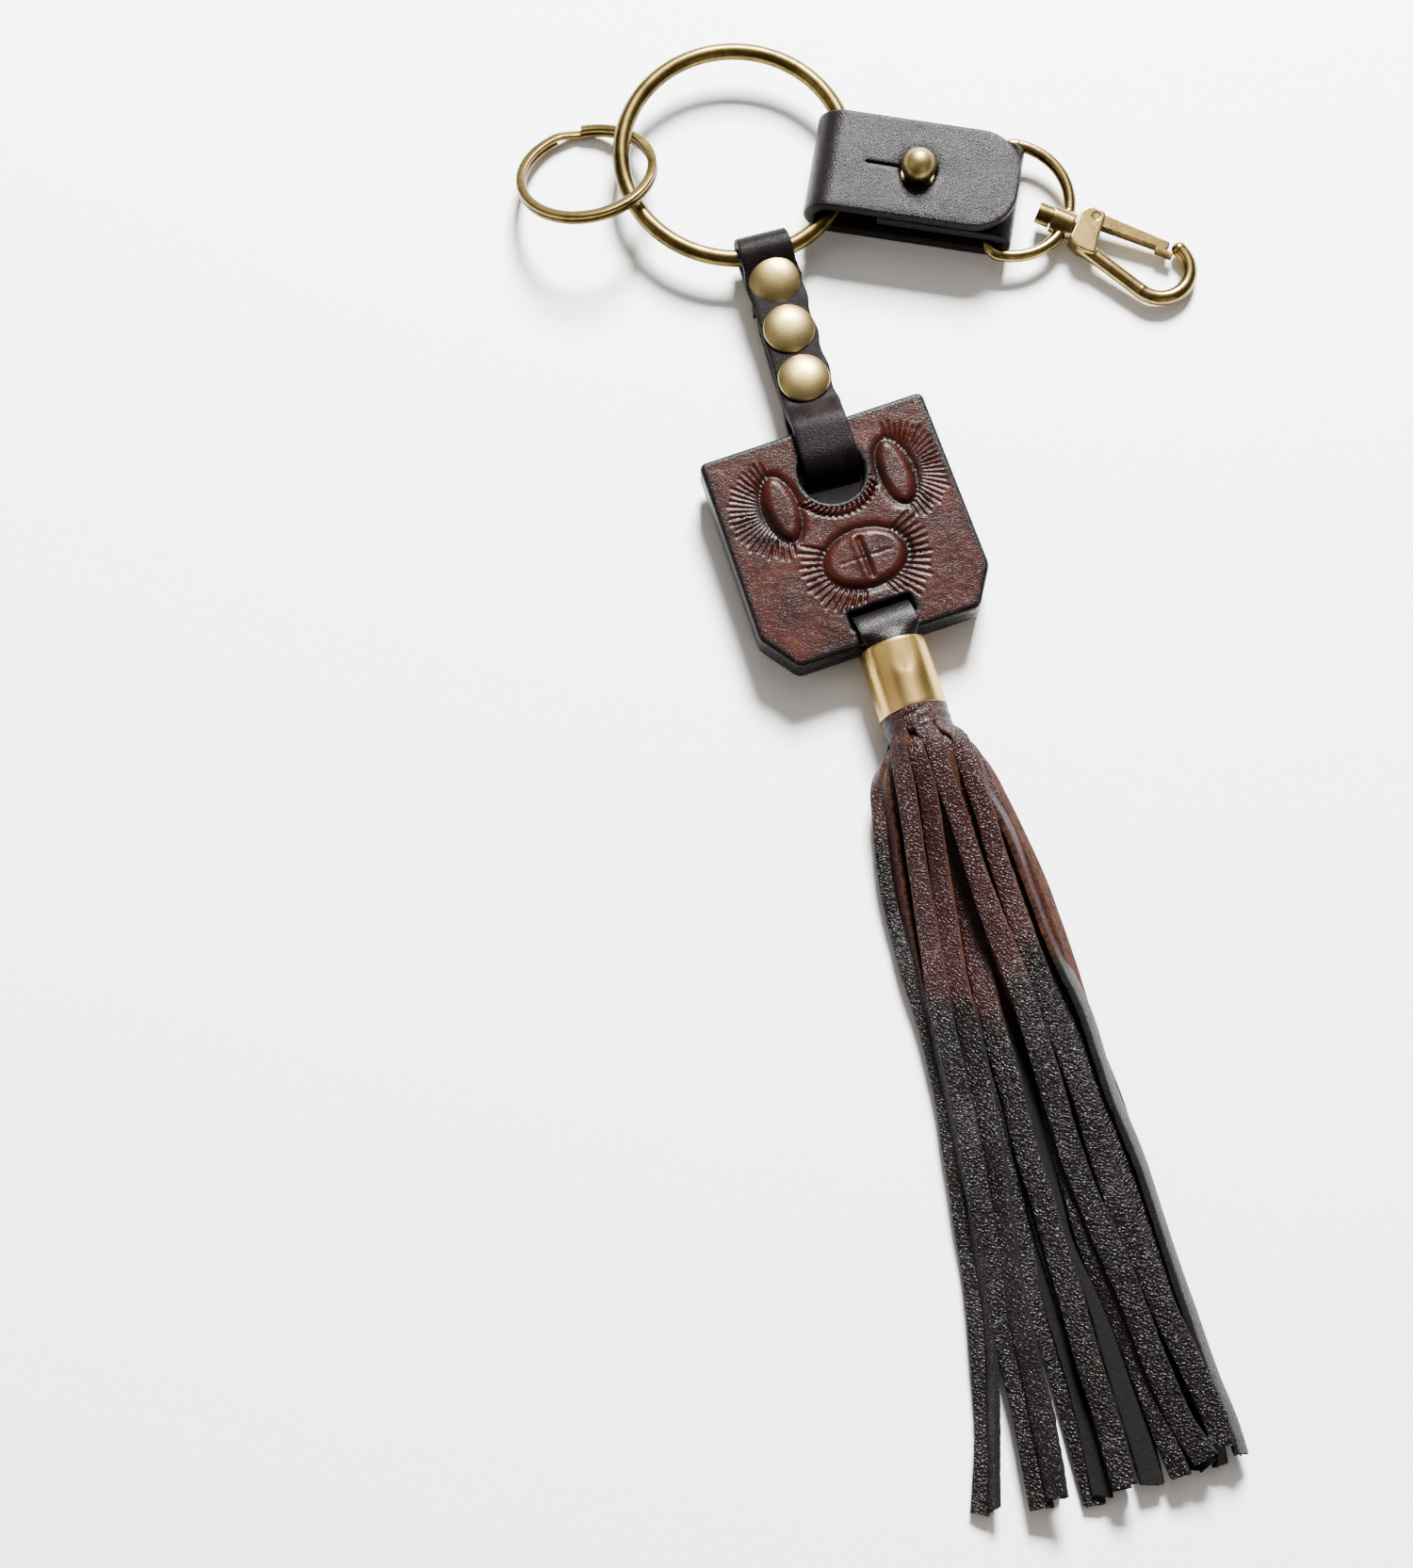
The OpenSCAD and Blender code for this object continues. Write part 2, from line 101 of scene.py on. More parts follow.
# ------------------------------------------------------------------ meshes
def mesh_object(name, verts, faces, mats, attrs=None, mat_index=None, sharp=40.0):
    """verts in design mm; attrs: {name: per-vertex float or 3-vector array}"""
    me = bpy.data.meshes.new(name)
    me.from_pydata(((np.asarray(verts) + SHIFT) / 1000).tolist(), [], [list(map(int, f)) for f in faces])
    me.validate()
    if len(me.vertices) != len(verts):
        raise RuntimeError(name + ": vertices lost")
    for k, a in (attrs or {}).items():
        a = np.asarray(a, np.float32)
        if a.ndim == 1:
            me.attributes.new(k, "FLOAT", "POINT").data.foreach_set("value", a)
        else:
            me.attributes.new(k, "FLOAT_VECTOR", "POINT").data.foreach_set("vector", a.ravel())
    ob = bpy.data.objects.new(name, me)
    scene.collection.objects.link(ob)
    for mt in mats if isinstance(mats, (list, tuple)) else [mats]:
        me.materials.append(mt)
    if mat_index is not None and len(mat_index) == len(me.polygons):
        me.polygons.foreach_set("material_index", np.asarray(mat_index, np.int32))
    me.polygons.foreach_set("use_smooth", np.ones(len(me.polygons), bool))
    me.update()
    if sharp:
        me.set_sharp_from_angle(angle=math.radians(sharp))
    return ob


def lathe(profile, n=64, cap=True):
    """(r, z) profile turned about Z; returns verts, faces"""
    pr = np.asarray(profile, float)
    k = len(pr)
    a = np.linspace(0, 2 * math.pi, n, endpoint=False)
    v, idx = [], []
    for r, z in pr:
        if r < 1e-6:
            idx.append([len(v)])
            v.append((0, 0, z))
        else:
            idx.append(list(range(len(v), len(v) + n)))
            v += [(r * math.cos(t), r * math.sin(t), z) for t in a]
    f = []
    for i in range(k - 1):
        p, q = idx[i], idx[i + 1]
        for j in range(n):
            j2 = (j + 1) % n
            if len(p) == 1 and len(q) == 1:
                continue
            if len(p) == 1:
                f.append((p[0], q[j2], q[j]))
            elif len(q) == 1:
                f.append((p[j], p[j2], q[0]))
            else:
                f.append((p[j], p[j2], q[j2], q[j]))
    return np.array(v, float), f


def section(t, r, nt=6, nc=3):
    """unit cross-section of a strap: rows of (across fraction, across offset, height, top?)
    across = fraction * half width + offset"""
    out = []
    h = t / 2
    for i in range(nt + 1):
        out.append((-1 + 2 * i / nt, 0 if 0 < i < nt else (r if i == 0 else -r), h, 1.0))
    for i in range(1, nc + 1):
        a = math.pi / 2 * i / nc
        out.append((1, -r + r * math.sin(a), h - r + r * math.cos(a), math.cos(a)))
    for i in range(0, nc):
        a = math.pi / 2 * i / nc
        out.append((1, -r + r * math.cos(a), -h + r - r * math.sin(a), -math.sin(a)))
    for i in range(nt + 1):
        out.append((1 - 2 * i / nt, 0 if 0 < i < nt else (-r if i == 0 else r), -h, -1.0))
    for i in range(1, nc + 1):
        a = math.pi / 2 * i / nc
        out.append((-1, r - r * math.sin(a), -h + r - r * math.cos(a), -math.cos(a)))
    for i in range(0, nc):
        a = math.pi / 2 * i / nc
        out.append((-1, r - r * math.cos(a), h - r + r * math.sin(a), math.sin(a)))
    return np.array(out)


def spline(ctrl, step):
    """Catmull-Rom through control rows, resampled evenly in arc length of the first 3 columns"""
    c = np.asarray(ctrl, float)
    c = np.vstack([2 * c[0] - c[1], c, 2 * c[-1] - c[-2]])
    pts = []
    for i in range(1, len(c) - 2):
        p0, p1, p2, p3 = c[i - 1], c[i], c[i + 1], c[i + 2]
        t = np.linspace(0, 1, 24, endpoint=False)[:, None]
        pts.append(0.5 * ((2 * p1) + (-p0 + p2) * t + (2 * p0 - 5 * p1 + 4 * p2 - p3) * t**2 + (-p0 + 3 * p1 - 3 * p2 + p3) * t**3))
    pts.append(c[-2][None])
    p = np.vstack(pts)
    d = np.r_[0, np.cumsum(np.linalg.norm(np.diff(p[:, :3], axis=0), axis=1))]
    n = max(2, int(round(d[-1] / step)))
    s = np.linspace(0, d[-1], n + 1)
    return np.stack([np.interp(s, d, p[:, k]) for k in range(p.shape[1])], 1), s


def unit(a):
    return a / np.maximum(np.linalg.norm(a, axis=-1, keepdims=True), 1e-9)


def tangents(p):
    t = np.empty_like(p)
    t[1:-1] = p[2:] - p[:-2]
    t[0], t[-1] = p[1] - p[0], p[-1] - p[-2]
    return unit(t)


def loft(centres, across, half_w, t, r, nt=6, crown=None, end0=None, end1=None, jitter=0.0, seed=0, closed=False):
    """a strap swept along centres (n,3) with across (n,3) unit vectors. Returns verts, faces, uvw (l, v, side) and
    side
    """
    sec = section(t, r, nt)
    K, n = len(sec), len(centres)
    T = tangents(centres)
    A = unit(across - T * (across * T).sum(1, keepdims=True))
    N = unit(np.cross(A, T))
    N *= np.sign((N * NREF).sum(1, keepdims=True)) if NREF is not None else 1
    d = np.r_[0, np.cumsum(np.linalg.norm(np.diff(centres, axis=0), axis=1))]
    hw = np.broadcast_to(half_w, n)
    lr = np.random.default_rng(seed)
    jit = lr.normal(0, 1, (n, K)) * jitter
    V = np.zeros((n, K, 3))
    lv = np.zeros((n, K, 2))
    for k in range(K):
        f, o, h, s = sec[k]
        v = f * (hw - 0) + o
        j = jit[:, k] if s < 0.3 else 0
        v = v + np.sign(f) * j * (1 if abs(f) > 0.99 else 0)
        hh = h + (j if s < -0.3 and abs(f) < 0.99 else 0)
        cr = 0 if crown is None else -crown * (v / np.maximum(hw, 1e-6)) ** 2
        V[:, k] = centres + A * v[:, None] + N * np.broadcast_to(hh + cr, n)[:, None]
        lv[:, k, 0] = d
        lv[:, k, 1] = v
    if end0 is not None:
        V[0] += T[0] * end0(lv[0, :, 1])[:, None]
    if end1 is not None:
        V[-1] += T[-1] * end1(lv[-1, :, 1])[:, None]
    faces = []
    for i in range(n - 1):
        for k in range(K):
            k2 = (k + 1) % K
            a, b, c, e = i * K + k, i * K + k2, (i + 1) * K + k2, (i + 1) * K + k
            faces.append((a, b, c, e))
    side = np.broadcast_to(sec[:, 3], (n, K)).copy()
    V = V.reshape(-1, 3)
    # the two ends: own vertices, so that the cut faces read as cut leather
    caps = [list(range(K))[::-1], list(range((n - 1) * K, n * K))]
    uvw = np.concatenate([lv.reshape(-1, 2), side.reshape(-1, 1)], 1)
    side = side.ravel()
    for c in caps:
        base = len(V)
        V = np.vstack([V, V[c]])
        uvw = np.vstack([uvw, uvw[c]])
        side = np.r_[side, np.zeros(K)]
        cen = len(V)
        V = np.vstack([V, V[base:base + K].mean(0)[None]])
        uvw = np.vstack([uvw, uvw[base:base + K].mean(0)[None]])
        side = np.r_[side, 0]
        faces += [(base + k, base + (k + 1) % K, cen) for k in range(K)]
    return V, faces, uvw, side


NREF = None


def fix_winding(V, faces):
    """outward faces for one closed shell"""
    V = np.asarray(V)
    vol = 0.0
    for f in faces:
        for i in range(1, len(f) - 1):
            vol += np.dot(V[f[0]], np.cross(V[f[i]], V[f[i + 1]]))
    return [tuple(reversed(f)) for f in faces] if vol < 0 else faces


def resample(loop, step):
    p = np.asarray(loop, float)
    out = []
    for a, b in zip(p, np.roll(p, -1, 0)):
        L = np.linalg.norm(b - a)
        k = max(1, int(round(L / step)))
        out += [a + (b - a) * i / k for i in range(k)]
    return np.array(out)


def loop_area(p):
    q = np.roll(p, -1, 0)
    return 0.5 * (p[:, 0] * q[:, 1] - q[:, 0] * p[:, 1]).sum()


def inset(p, d):
    """move a closed loop to its left (into the material) by d"""
    a = unit(p - np.roll(p, 1, 0))
    b = unit(np.roll(p, -1, 0) - p)
    na, nb = np.stack([-a[:, 1], a[:, 0]], 1), np.stack([-b[:, 1], b[:, 0]], 1)
    m_ = unit(na + nb)
    c = np.clip((m_ * na).sum(1, keepdims=True), 0.35, 1)
    return p + m_ * d / c


def in_loop(pts, loop):
    x, y = pts[:, 0], pts[:, 1]
    inside = np.zeros(len(pts), bool)
    q = np.roll(loop, -1, 0)
    for (x1, y1), (x2, y2) in zip(loop, q):
        if y1 == y2:
            continue
        c = ((y1 > y) != (y2 > y)) & (x < (x2 - x1) * (y - y1) / (y2 - y1) + x1)
        inside ^= c
    return inside


def seg_dist(pts, loop):
    d = np.full(len(pts), 1e9)
    q = np.roll(loop, -1, 0)
    for a, b in zip(loop, q):
        ab = b - a
        t = np.clip(((pts - a) @ ab) / max(ab @ ab, 1e-12), 0, 1)
        d = np.minimum(d, np.hypot(*(pts - a - t[:, None] * ab).T))
    return d


def sheet_top(loops, step_x, step_y, gap):
    """triangles of the region left of every loop (outer loop anticlockwise, holes clockwise)"""
    n0 = sum(len(l) for l in loops)
    lo, hi = loops[0].min(0), loops[0].max(0)
    gx = np.arange(lo[0] + gap, hi[0], step_x)
    gy = np.arange(lo[1] + gap, hi[1], step_y)
    X, Y = np.meshgrid(gx, gy)
    X = X + (np.arange(len(gy)) % 2)[:, None] * step_x / 2
    g = np.stack([X.ravel(), Y.ravel()], 1)
    ok = in_loop(g, loops[0])
    for l in loops[1:]:
        ok &= ~in_loop(g, l)
    g = g[ok]
    for l in loops:
        g = g[seg_dist(g, l) > gap]
    pts = np.vstack(loops + [g])
    edges, b = [], 0
    for l in loops:
        edges += [(b + i, b + (i + 1) % len(l)) for i in range(len(l))]
        b += len(l)
    vo, eo, fo, *_ = delaunay_2d_cdt([Vector(map(float, p)) for p in pts], edges, [], 0, 1e-7)
    vo = np.array([tuple(v) for v in vo])
    if len(vo) != len(pts) or np.abs(vo - pts).max() > 1e-3:
        raise RuntimeError("sheet points moved: %d %d" % (len(vo), len(pts)))
    f = np.array([tuple(t) for t in fo if len(t) == 3])
    c = vo[f].mean(1)
    ok = in_loop(c, loops[0])
    for l in loops[1:]:
        ok &= ~in_loop(c, l)
    f = f[ok]
    v = pts[f]
    ar = (v[:, 1, 0] - v[:, 0, 0]) * (v[:, 2, 1] - v[:, 0, 1]) - (v[:, 2, 0] - v[:, 0, 0]) * (v[:, 1, 1] - v[:, 0, 1])
    f = f[np.abs(ar) > 1e-9]
    f[ar[np.abs(ar) > 1e-9] < 0] = f[ar[np.abs(ar) > 1e-9] < 0][:, ::-1]
    return pts, f, n0


def plate(outer, holes, prof, step_x, step_y, gap=None, bottom_step=None):
    """A flat slab with shaped edges. prof: (inset, z, side) from the bottom sheet's rim round the edge to the top's.
    Returns plan points (N,2), z (N), side (N), faces, part (0 bottom, 1 edge, 2 top)"""
    loops = [outer if loop_area(outer) > 0 else outer[::-1]] + [h if loop_area(h) < 0 else h[::-1] for h in holes]
    top_l = [inset(l, prof[-1][0]) for l in loops]
    bot_l = [inset(l, prof[0][0]) for l in loops]
    gap = gap or min(step_x, step_y) * 0.7
    tp, tf, n0 = sheet_top(top_l, step_x, step_y, gap)
    bs = bottom_step or (step_x * 2, step_y * 2)
    bp, bf, _ = sheet_top(bot_l, bs[0], bs[1], max(gap, min(bs) * 0.5))
    P, Z, S, part = [tp], [np.full(len(tp), prof[-1][1])], [np.full(len(tp), 1.0)], [np.full(len(tp), 2)]
    F = [tuple(t) for t in tf]
    mats = [2] * len(tf)
    off = len(tp)
    P.append(bp), Z.append(np.full(len(bp), prof[0][1])), S.append(np.full(len(bp), -1.0)), part.append(np.zeros(len(bp)))
    F += [tuple(t[::-1] + off) for t in bf]
    mats += [0] * len(bf)
    bot_off = off
    off += len(bp)
    b = 0
    for l in loops:
        n = len(l)
        rows_ = []
        for i, (d, z, s) in enumerate(prof):
            if i == 0:
                rows_.append(bot_off + b + np.arange(n))
            elif i == len(prof) - 1:
                rows_.append(b + np.arange(n))
            else:
                P.append(inset(l, d)), Z.append(np.full(n, z)), S.append(np.full(n, s)), part.append(np.ones(n))
                rows_.append(off + np.arange(n))
                off += n
        for r0, r1 in zip(rows_[:-1], rows_[1:]):
            for i in range(n):
                j = (i + 1) % n
                F.append((r0[i], r0[j], r1[j], r1[i]))
                mats.append(1)
        b += n
    return np.vstack(P), np.concatenate(Z), np.concatenate(S), F, np.concatenate(part), mats


def fbm(p, scale, octaves=3, seed=0.0):
    """smooth noise in about -1..1 at rows of p"""
    q = np.asarray(p, float) * scale
    if q.shape[1] == 2:
        q = np.c_[q, np.full(len(q), seed)]
    return np.array([noise.fractal(Vector((a, b, c + seed)), 1.0, 2.0, octaves) for a, b, c in q])


def smooth01(t):
    t = np.clip(t, 0, 1)
    return t * t * (3 - 2 * t)


# ------------------------------------------------------------------ materials
class Tree:
    """short-hand for building a node tree"""

    def __init__(self, name):
        self.mat = bpy.data.materials.new(name)
        self.mat.use_nodes = True
        self.nt = self.mat.node_tree
        self.nt.nodes.clear()
        self.out = self.n("ShaderNodeOutputMaterial")
        self.bsdf = self.n("ShaderNodeBsdfPrincipled")
        self.l(self.bsdf.outputs[0], self.out.inputs[0])

    def n(self, kind, inputs=None, **props):
        nd = self.nt.nodes.new(kind)
        for k, v in props.items():
            setattr(nd, k, v)
        for k, v in (inputs or {}).items():
            self.put(nd.inputs[k], v)
        return nd

    def l(self, a, b):
        self.nt.links.new(a, b)

    def put(self, sock, v):
        if isinstance(v, bpy.types.NodeSocket):
            self.l(v, sock)
        elif isinstance(v, (tuple, list)) and len(v) == 3 and sock.type == "RGBA":
            sock.default_value = (*v, 1)
        else:
            sock.default_value = v

    def attr(self, name, out="Fac"):
        nd = self.n("ShaderNodeAttribute", attribute_name=name)
        return nd.outputs[out]

    def math(self, op, a, b=None, c=None, clamp=False):
        nd = self.n("ShaderNodeMath", operation=op, use_clamp=clamp)
        for i, v in enumerate((a, b, c)):
            if v is not None:
                self.put(nd.inputs[i], v)
        return nd.outputs[0]

    def ramp(self, fac, stops, interp="LINEAR"):
        nd = self.n("ShaderNodeValToRGB")
        cr = nd.color_ramp
        cr.interpolation = interp
        while len(cr.elements) < len(stops):
            cr.elements.new(0.5)
        for e, (p, c) in zip(cr.elements, stops):
            e.position = p
            e.color = (c, c, c, 1) if isinstance(c, (int, float)) else (*c, 1)
        self.put(nd.inputs[0], fac)
        return nd.outputs[0]

    def mix(self, fac, a, b, blend="MIX"):
        nd = self.n("ShaderNodeMix", data_type="RGBA", blend_type=blend)
        self.put(nd.inputs[0], fac)
        self.put(nd.inputs[6], a)
        self.put(nd.inputs[7], b)
        return nd.outputs[2]

    def range(self, v, a, b, c, d, smooth=False):
        nd = self.n("ShaderNodeMapRange", interpolation_type="SMOOTHSTEP" if smooth else "LINEAR")
        for i, x in enumerate((v, a, b, c, d)):
            self.put(nd.inputs[i], x)
        return nd.outputs[0]

    def noise(self, vec, scale, detail=3.0, rough=0.5, dist=0.0):
        nd = self.n("ShaderNodeTexNoise", {"Scale": scale, "Detail": detail, "Roughness": rough, "Distortion": dist})
        self.l(vec, nd.inputs["Vector"])
        return nd.outputs["Fac"]

    def voronoi(self, vec, scale, feature="F1", metric="EUCLIDEAN", smooth=None, rand=1.0):
        nd = self.n("ShaderNodeTexVoronoi", {"Scale": scale, "Randomness": rand}, feature=feature, distance=metric)
        if smooth is not None:
            nd.inputs["Smoothness"].default_value = smooth
        self.l(vec, nd.inputs["Vector"])
        return nd.outputs["Distance"]

    def mapping(self, vec, scale=(1, 1, 1), rot=(0, 0, 0), loc=(0, 0, 0)):
        nd = self.n("ShaderNodeMapping", {"Scale": scale, "Rotation": rot, "Location": loc})
        self.l(vec, nd.inputs["Vector"])
        return nd.outputs[0]

    def bump(self, height, distance, strength=1.0, normal=None):
        nd = self.n("ShaderNodeBump", {"Strength": strength, "Distance": distance})
        self.l(height, nd.inputs["Height"])
        if normal is not None:
            self.l(normal, nd.inputs["Normal"])
        return nd.outputs[0]

    def obj(self):
        return self.n("ShaderNodeTexCoord").outputs["Object"]

    def set(self, **kw):
        for k, v in kw.items():
            self.put(self.bsdf.inputs[k.replace("_", " ")], v)


def leather_grain(t, vec, cell, crease=1.0):
    """pebbled leather height in 0..1 from a coordinate in mm"""
    warp = t.n("ShaderNodeTexNoise", {"Scale": 0.9 / cell, "Detail": 2.0})
    t.l(vec, warp.inputs["Vector"])
    w = t.n("ShaderNodeVectorMath", {0: warp.outputs["Color"], 1: (0.5, 0.5, 0.5)}, operation="SUBTRACT")
    w2 = t.n("ShaderNodeVectorMath", {0: w.outputs[0], "Scale": cell * 0.9}, operation="SCALE")
    w3 = t.n("ShaderNodeVectorMath", {0: vec, 1: w2.outputs[0]}, operation="ADD")
    d = t.voronoi(w3.outputs[0], 1 / cell, feature="DISTANCE_TO_EDGE")
    peb = t.range(d, 0.0, 0.28, 0.0, 1.0, smooth=True)
    fine = t.noise(vec, 3.2 / cell, 3.0, 0.6)
    big = t.noise(vec, 0.22 / cell, 4.0, 0.62, 0.6)
    a = t.math("MULTIPLY_ADD", fine, 0.25, peb)
    return t.math("MULTIPLY_ADD", big, 0.9 * crease, a), peb, big


def m_black_leather(name, spec, rough):
    t = Tree(name)
    vec = t.attr("uvw", "Vector")
    side = t.attr("side")
    h, peb, big = leather_grain(t, vec, 0.34, 1.1)
    ob = t.mapping(vec, (0.06, 0.12, 1))
    tone = t.noise(ob, 1.6, 4.0, 0.6, 0.4)
    top = t.mix(t.range(tone, 0.35, 0.7, 0.0, 1.0), (0.001, 0.0006, 0.0007), (0.0044, 0.0023, 0.0029))
    streak = t.noise(t.mapping(vec, (0.25, 3.2, 1)), 1.0, 4.0, 0.7)
    edge = t.mix(streak, (0.0012, 0.0012, 0.0013), (0.006, 0.0045, 0.004))
    flesh = t.mix(t.noise(vec, 2.4, 5.0, 0.7), (0.0018, 0.0015, 0.0014), (0.007, 0.0055, 0.005))
    is_top = t.range(side, 0.25, 0.75, 0.0, 1.0)
    is_bot = t.range(side, -0.75, -0.25, 1.0, 0.0)
    col = t.mix(is_top, edge, top)
    col = t.mix(is_bot, col, flesh)
    ro = t.range(t.math("MULTIPLY_ADD", tone, 0.6, t.math("MULTIPLY", peb, 0.4)), 0.2, 0.9, rough[0], rough[1])
    ro = t.math("MAXIMUM", ro, t.math("MULTIPLY", t.math("SUBTRACT", 1.0, is_top), 0.55))
    b = t.bump(h, 0.000024, 0.9)
    b2 = t.bump(streak, 0.00005, t.math("SUBTRACT", 1.0, is_top), b)
    t.set(Base_Color=col, Roughness=ro, Normal=b2)
    t.bsdf.inputs["Specular IOR Level"].default_value = spec
    return t.mat


def m_ombre():
    t = Tree("ombre_leather")
    vec = t.attr("uvw", "Vector")
    side = t.attr("side")
    fade = t.attr("fade")
    rnd = t.attr("rnd")
    h, peb, big = leather_grain(t, vec, 0.52, 0.12)
    fz = t.math("ADD", fade, t.math("MULTIPLY", t.math("SUBTRACT", t.noise(t.mapping(vec, (0.5, 1.6, 1)), 1.0, 5.0, 0.7), 0.5), 7.0))
    dark = t.range(fz, -2.2, 2.6, 0.0, 1.0, smooth=True)
    tone = t.noise(t.mapping(vec, (0.16, 0.5, 1)), 1.0, 4.0, 0.6)
    brown = t.mix(t.range(tone, 0.3, 0.72, 0.0, 1.0), (0.0075, 0.0011, 0.0009), (0.025, 0.0042, 0.0032))
    # painted shade: the grain's creases are darkened
    brown = t.mix(t.math("MULTIPLY", t.math("SUBTRACT", 1.0, peb), 0.7), brown, (0.004, 0.0009, 0.0007))
    brown = t.mix(t.range(rnd, 0.0, 1.0, 0.0, 0.3), brown, (0.018, 0.003, 0.003))
    black = t.mix(t.range(tone, 0.3, 0.75, 0.0, 1.0), (0.0004, 0.0002, 0.0002), (0.003, 0.0013, 0.001))
    top = t.mix(dark, brown, black)
    fib = t.range(t.noise(t.mapping(vec, (1.1, 1.6, 1.6)), 1.0, 6.0, 0.8), 0.4, 0.68, 0.0, 1.0)
    suede_b = t.mix(fib, (0.0022, 0.0005, 0.0002), (0.09, 0.023, 0.005))
    suede_k = t.mix(fib, (0.0003, 0.0003, 0.0003), (0.003, 0.0026, 0.002))
    sz = t.math("SUBTRACT", fz, 1.5)
    suede = t.mix(t.range(sz, -2.5, 2.5, 0.0, 1.0, smooth=True), suede_b, suede_k)
    is_top = t.range(side, 0.3, 0.85, 0.0, 1.0)
    col = t.mix(is_top, suede, top)
    ro_top = t.range(t.math("MULTIPLY_ADD", big, 0.5, t.math("MULTIPLY", peb, 0.5)), 0.1, 0.85, 0.42, 0.3)
    ro = t.mix(is_top, (0.88, 0.88, 0.88), ro_top)
    b = t.bump(h, 0.00008, is_top)
    b2 = t.bump(fib, 0.0003, t.math("MULTIPLY", t.math("SUBTRACT", 1.0, is_top), 0.9), b)
    t.set(Base_Color=col, Roughness=ro, Normal=b2)
    t.bsdf.inputs["Specular IOR Level"].default_value = 0.2
    return t.mat


def m_tooled():
    t = Tree("tooled_leather")
    vec = t.attr("uvw", "Vector")
    rec = t.attr("recess")
    rim = t.attr("rim")
    h, peb, big = leather_grain(t, vec, 0.42, 1.2)
    tone = t.noise(vec, 0.11, 5.0, 0.62, 0.5)
    tone2 = t.noise(vec, 0.75, 4.0, 0.65, 0.3)
    base = t.mix(t.range(tone, 0.32, 0.68, 0.0, 1.0), (0.0045, 0.0010, 0.0006), (0.026, 0.0050, 0.0028))
    base = t.mix(t.range(tone2, 0.45, 0.8, 0.0, 0.55), base, (0.0045, 0.0012, 0.0010))
    low = t.range(rec, 0.05, 0.4, 0.0, 0.7)
    base = t.mix(low, base, (0.0025, 0.001, 0.0009))
    high = t.range(rec, -0.12, -0.42, 0.0, 0.45)
    base = t.mix(high, base, (0.018, 0.0045, 0.0035))
    edge = t.range(t.math("ADD", rim, t.math("MULTIPLY", t.math("SUBTRACT", tone2, 0.5), 2.4)), 0.1, 2.4, 0.85, 0.0, smooth=True)
    base = t.mix(edge, base, (0.0016, 0.0006, 0.0005))
    ro = t.range(t.math("MULTIPLY_ADD", tone2, 0.6, t.math("MULTIPLY", peb, 0.4)), 0.2, 0.9, 0.36, 0.2)
    b = t.bump(h, 0.000026, 0.6)
    b2 = t.bump(tone2, 0.00007, 0.5, b)
    t.set(Base_Color=base, Roughness=ro, Normal=b2)
    t.bsdf.inputs["Specular IOR Level"].default_value = 0.08
    t.bsdf.inputs["Coat Weight"].default_value = 0.02
    t.bsdf.inputs["Coat Roughness"].default_value = 0.16
    return t.mat


def m_edge_paint():
    t = Tree("black_edge_paint")
    vec = t.attr("uvw", "Vector")
    n1 = t.noise(vec, 0.9, 5.0, 0.7)
    n2 = t.noise(vec, 4.0, 3.0, 0.6)
    col = t.mix(t.range(n1, 0.4, 0.75, 0.0, 1.0), (0.0008, 0.0008, 0.0009), (0.004, 0.0034, 0.0032))
    b = t.bump(n1, 0.00022, 0.8)
    b2 = t.bump(n2, 0.00004, 0.8, b)
    t.set(Base_Color=col, Roughness=t.range(n2, 0.3, 0.8, 0.28, 0.5), Normal=b2)
    t.bsdf.inputs["Specular IOR Level"].default_value = 0.1
    return t.mat


def m_belt_back():
    t = Tree("belt_leather_back")
    vec = t.attr("uvw", "Vector")
    n1 = t.noise(vec, 1.1, 6.0, 0.72)
    n2 = t.noise(t.mapping(vec, (2.5, 5.0, 2.5)), 1.0, 4.0, 0.7)
    col = t.mix(n1, (0.007, 0.003, 0.002), (0.032, 0.0125, 0.007))
    t.set(Base_Color=col, Roughness=t.range(n1, 0.2, 0.8, 0.95, 0.72), Normal=t.bump(n2, 0.00014, 0.8))
    t.bsdf.inputs["Specular IOR Level"].default_value = 0.2
    return t.mat


def m_brass(name, dark, mid, light, ro, bump=0.00002, patina=0.5, stretch=(1, 1, 1), scale=520.0):
    """metres in, since CAD nodes carry only their object coordinates"""
    t = Tree(name)
    vec = t.mapping(t.obj(), stretch)
    n1 = t.noise(vec, scale, 5.0, 0.65, 0.3)
    n2 = t.noise(vec, scale * 6, 3.0, 0.6)
    n3 = t.noise(vec, scale * 0.25, 3.0, 0.6, 0.6)
    col = t.mix(t.range(n1, 0.3, 0.7, 0.0, 1.0), mid, light)
    col = t.mix(t.math("MULTIPLY", t.range(n3, 0.42, 0.72, 0.0, 1.0), patina), col, dark)
    r = t.range(t.math("MULTIPLY_ADD", n1, 0.6, t.math("MULTIPLY", n2, 0.4)), 0.25, 0.75, ro[0], ro[1])
    t.set(Base_Color=col, Metallic=1.0, Roughness=r, Normal=t.bump(t.math("ADD", n1, n2), bump, 0.6))
    return t.mat


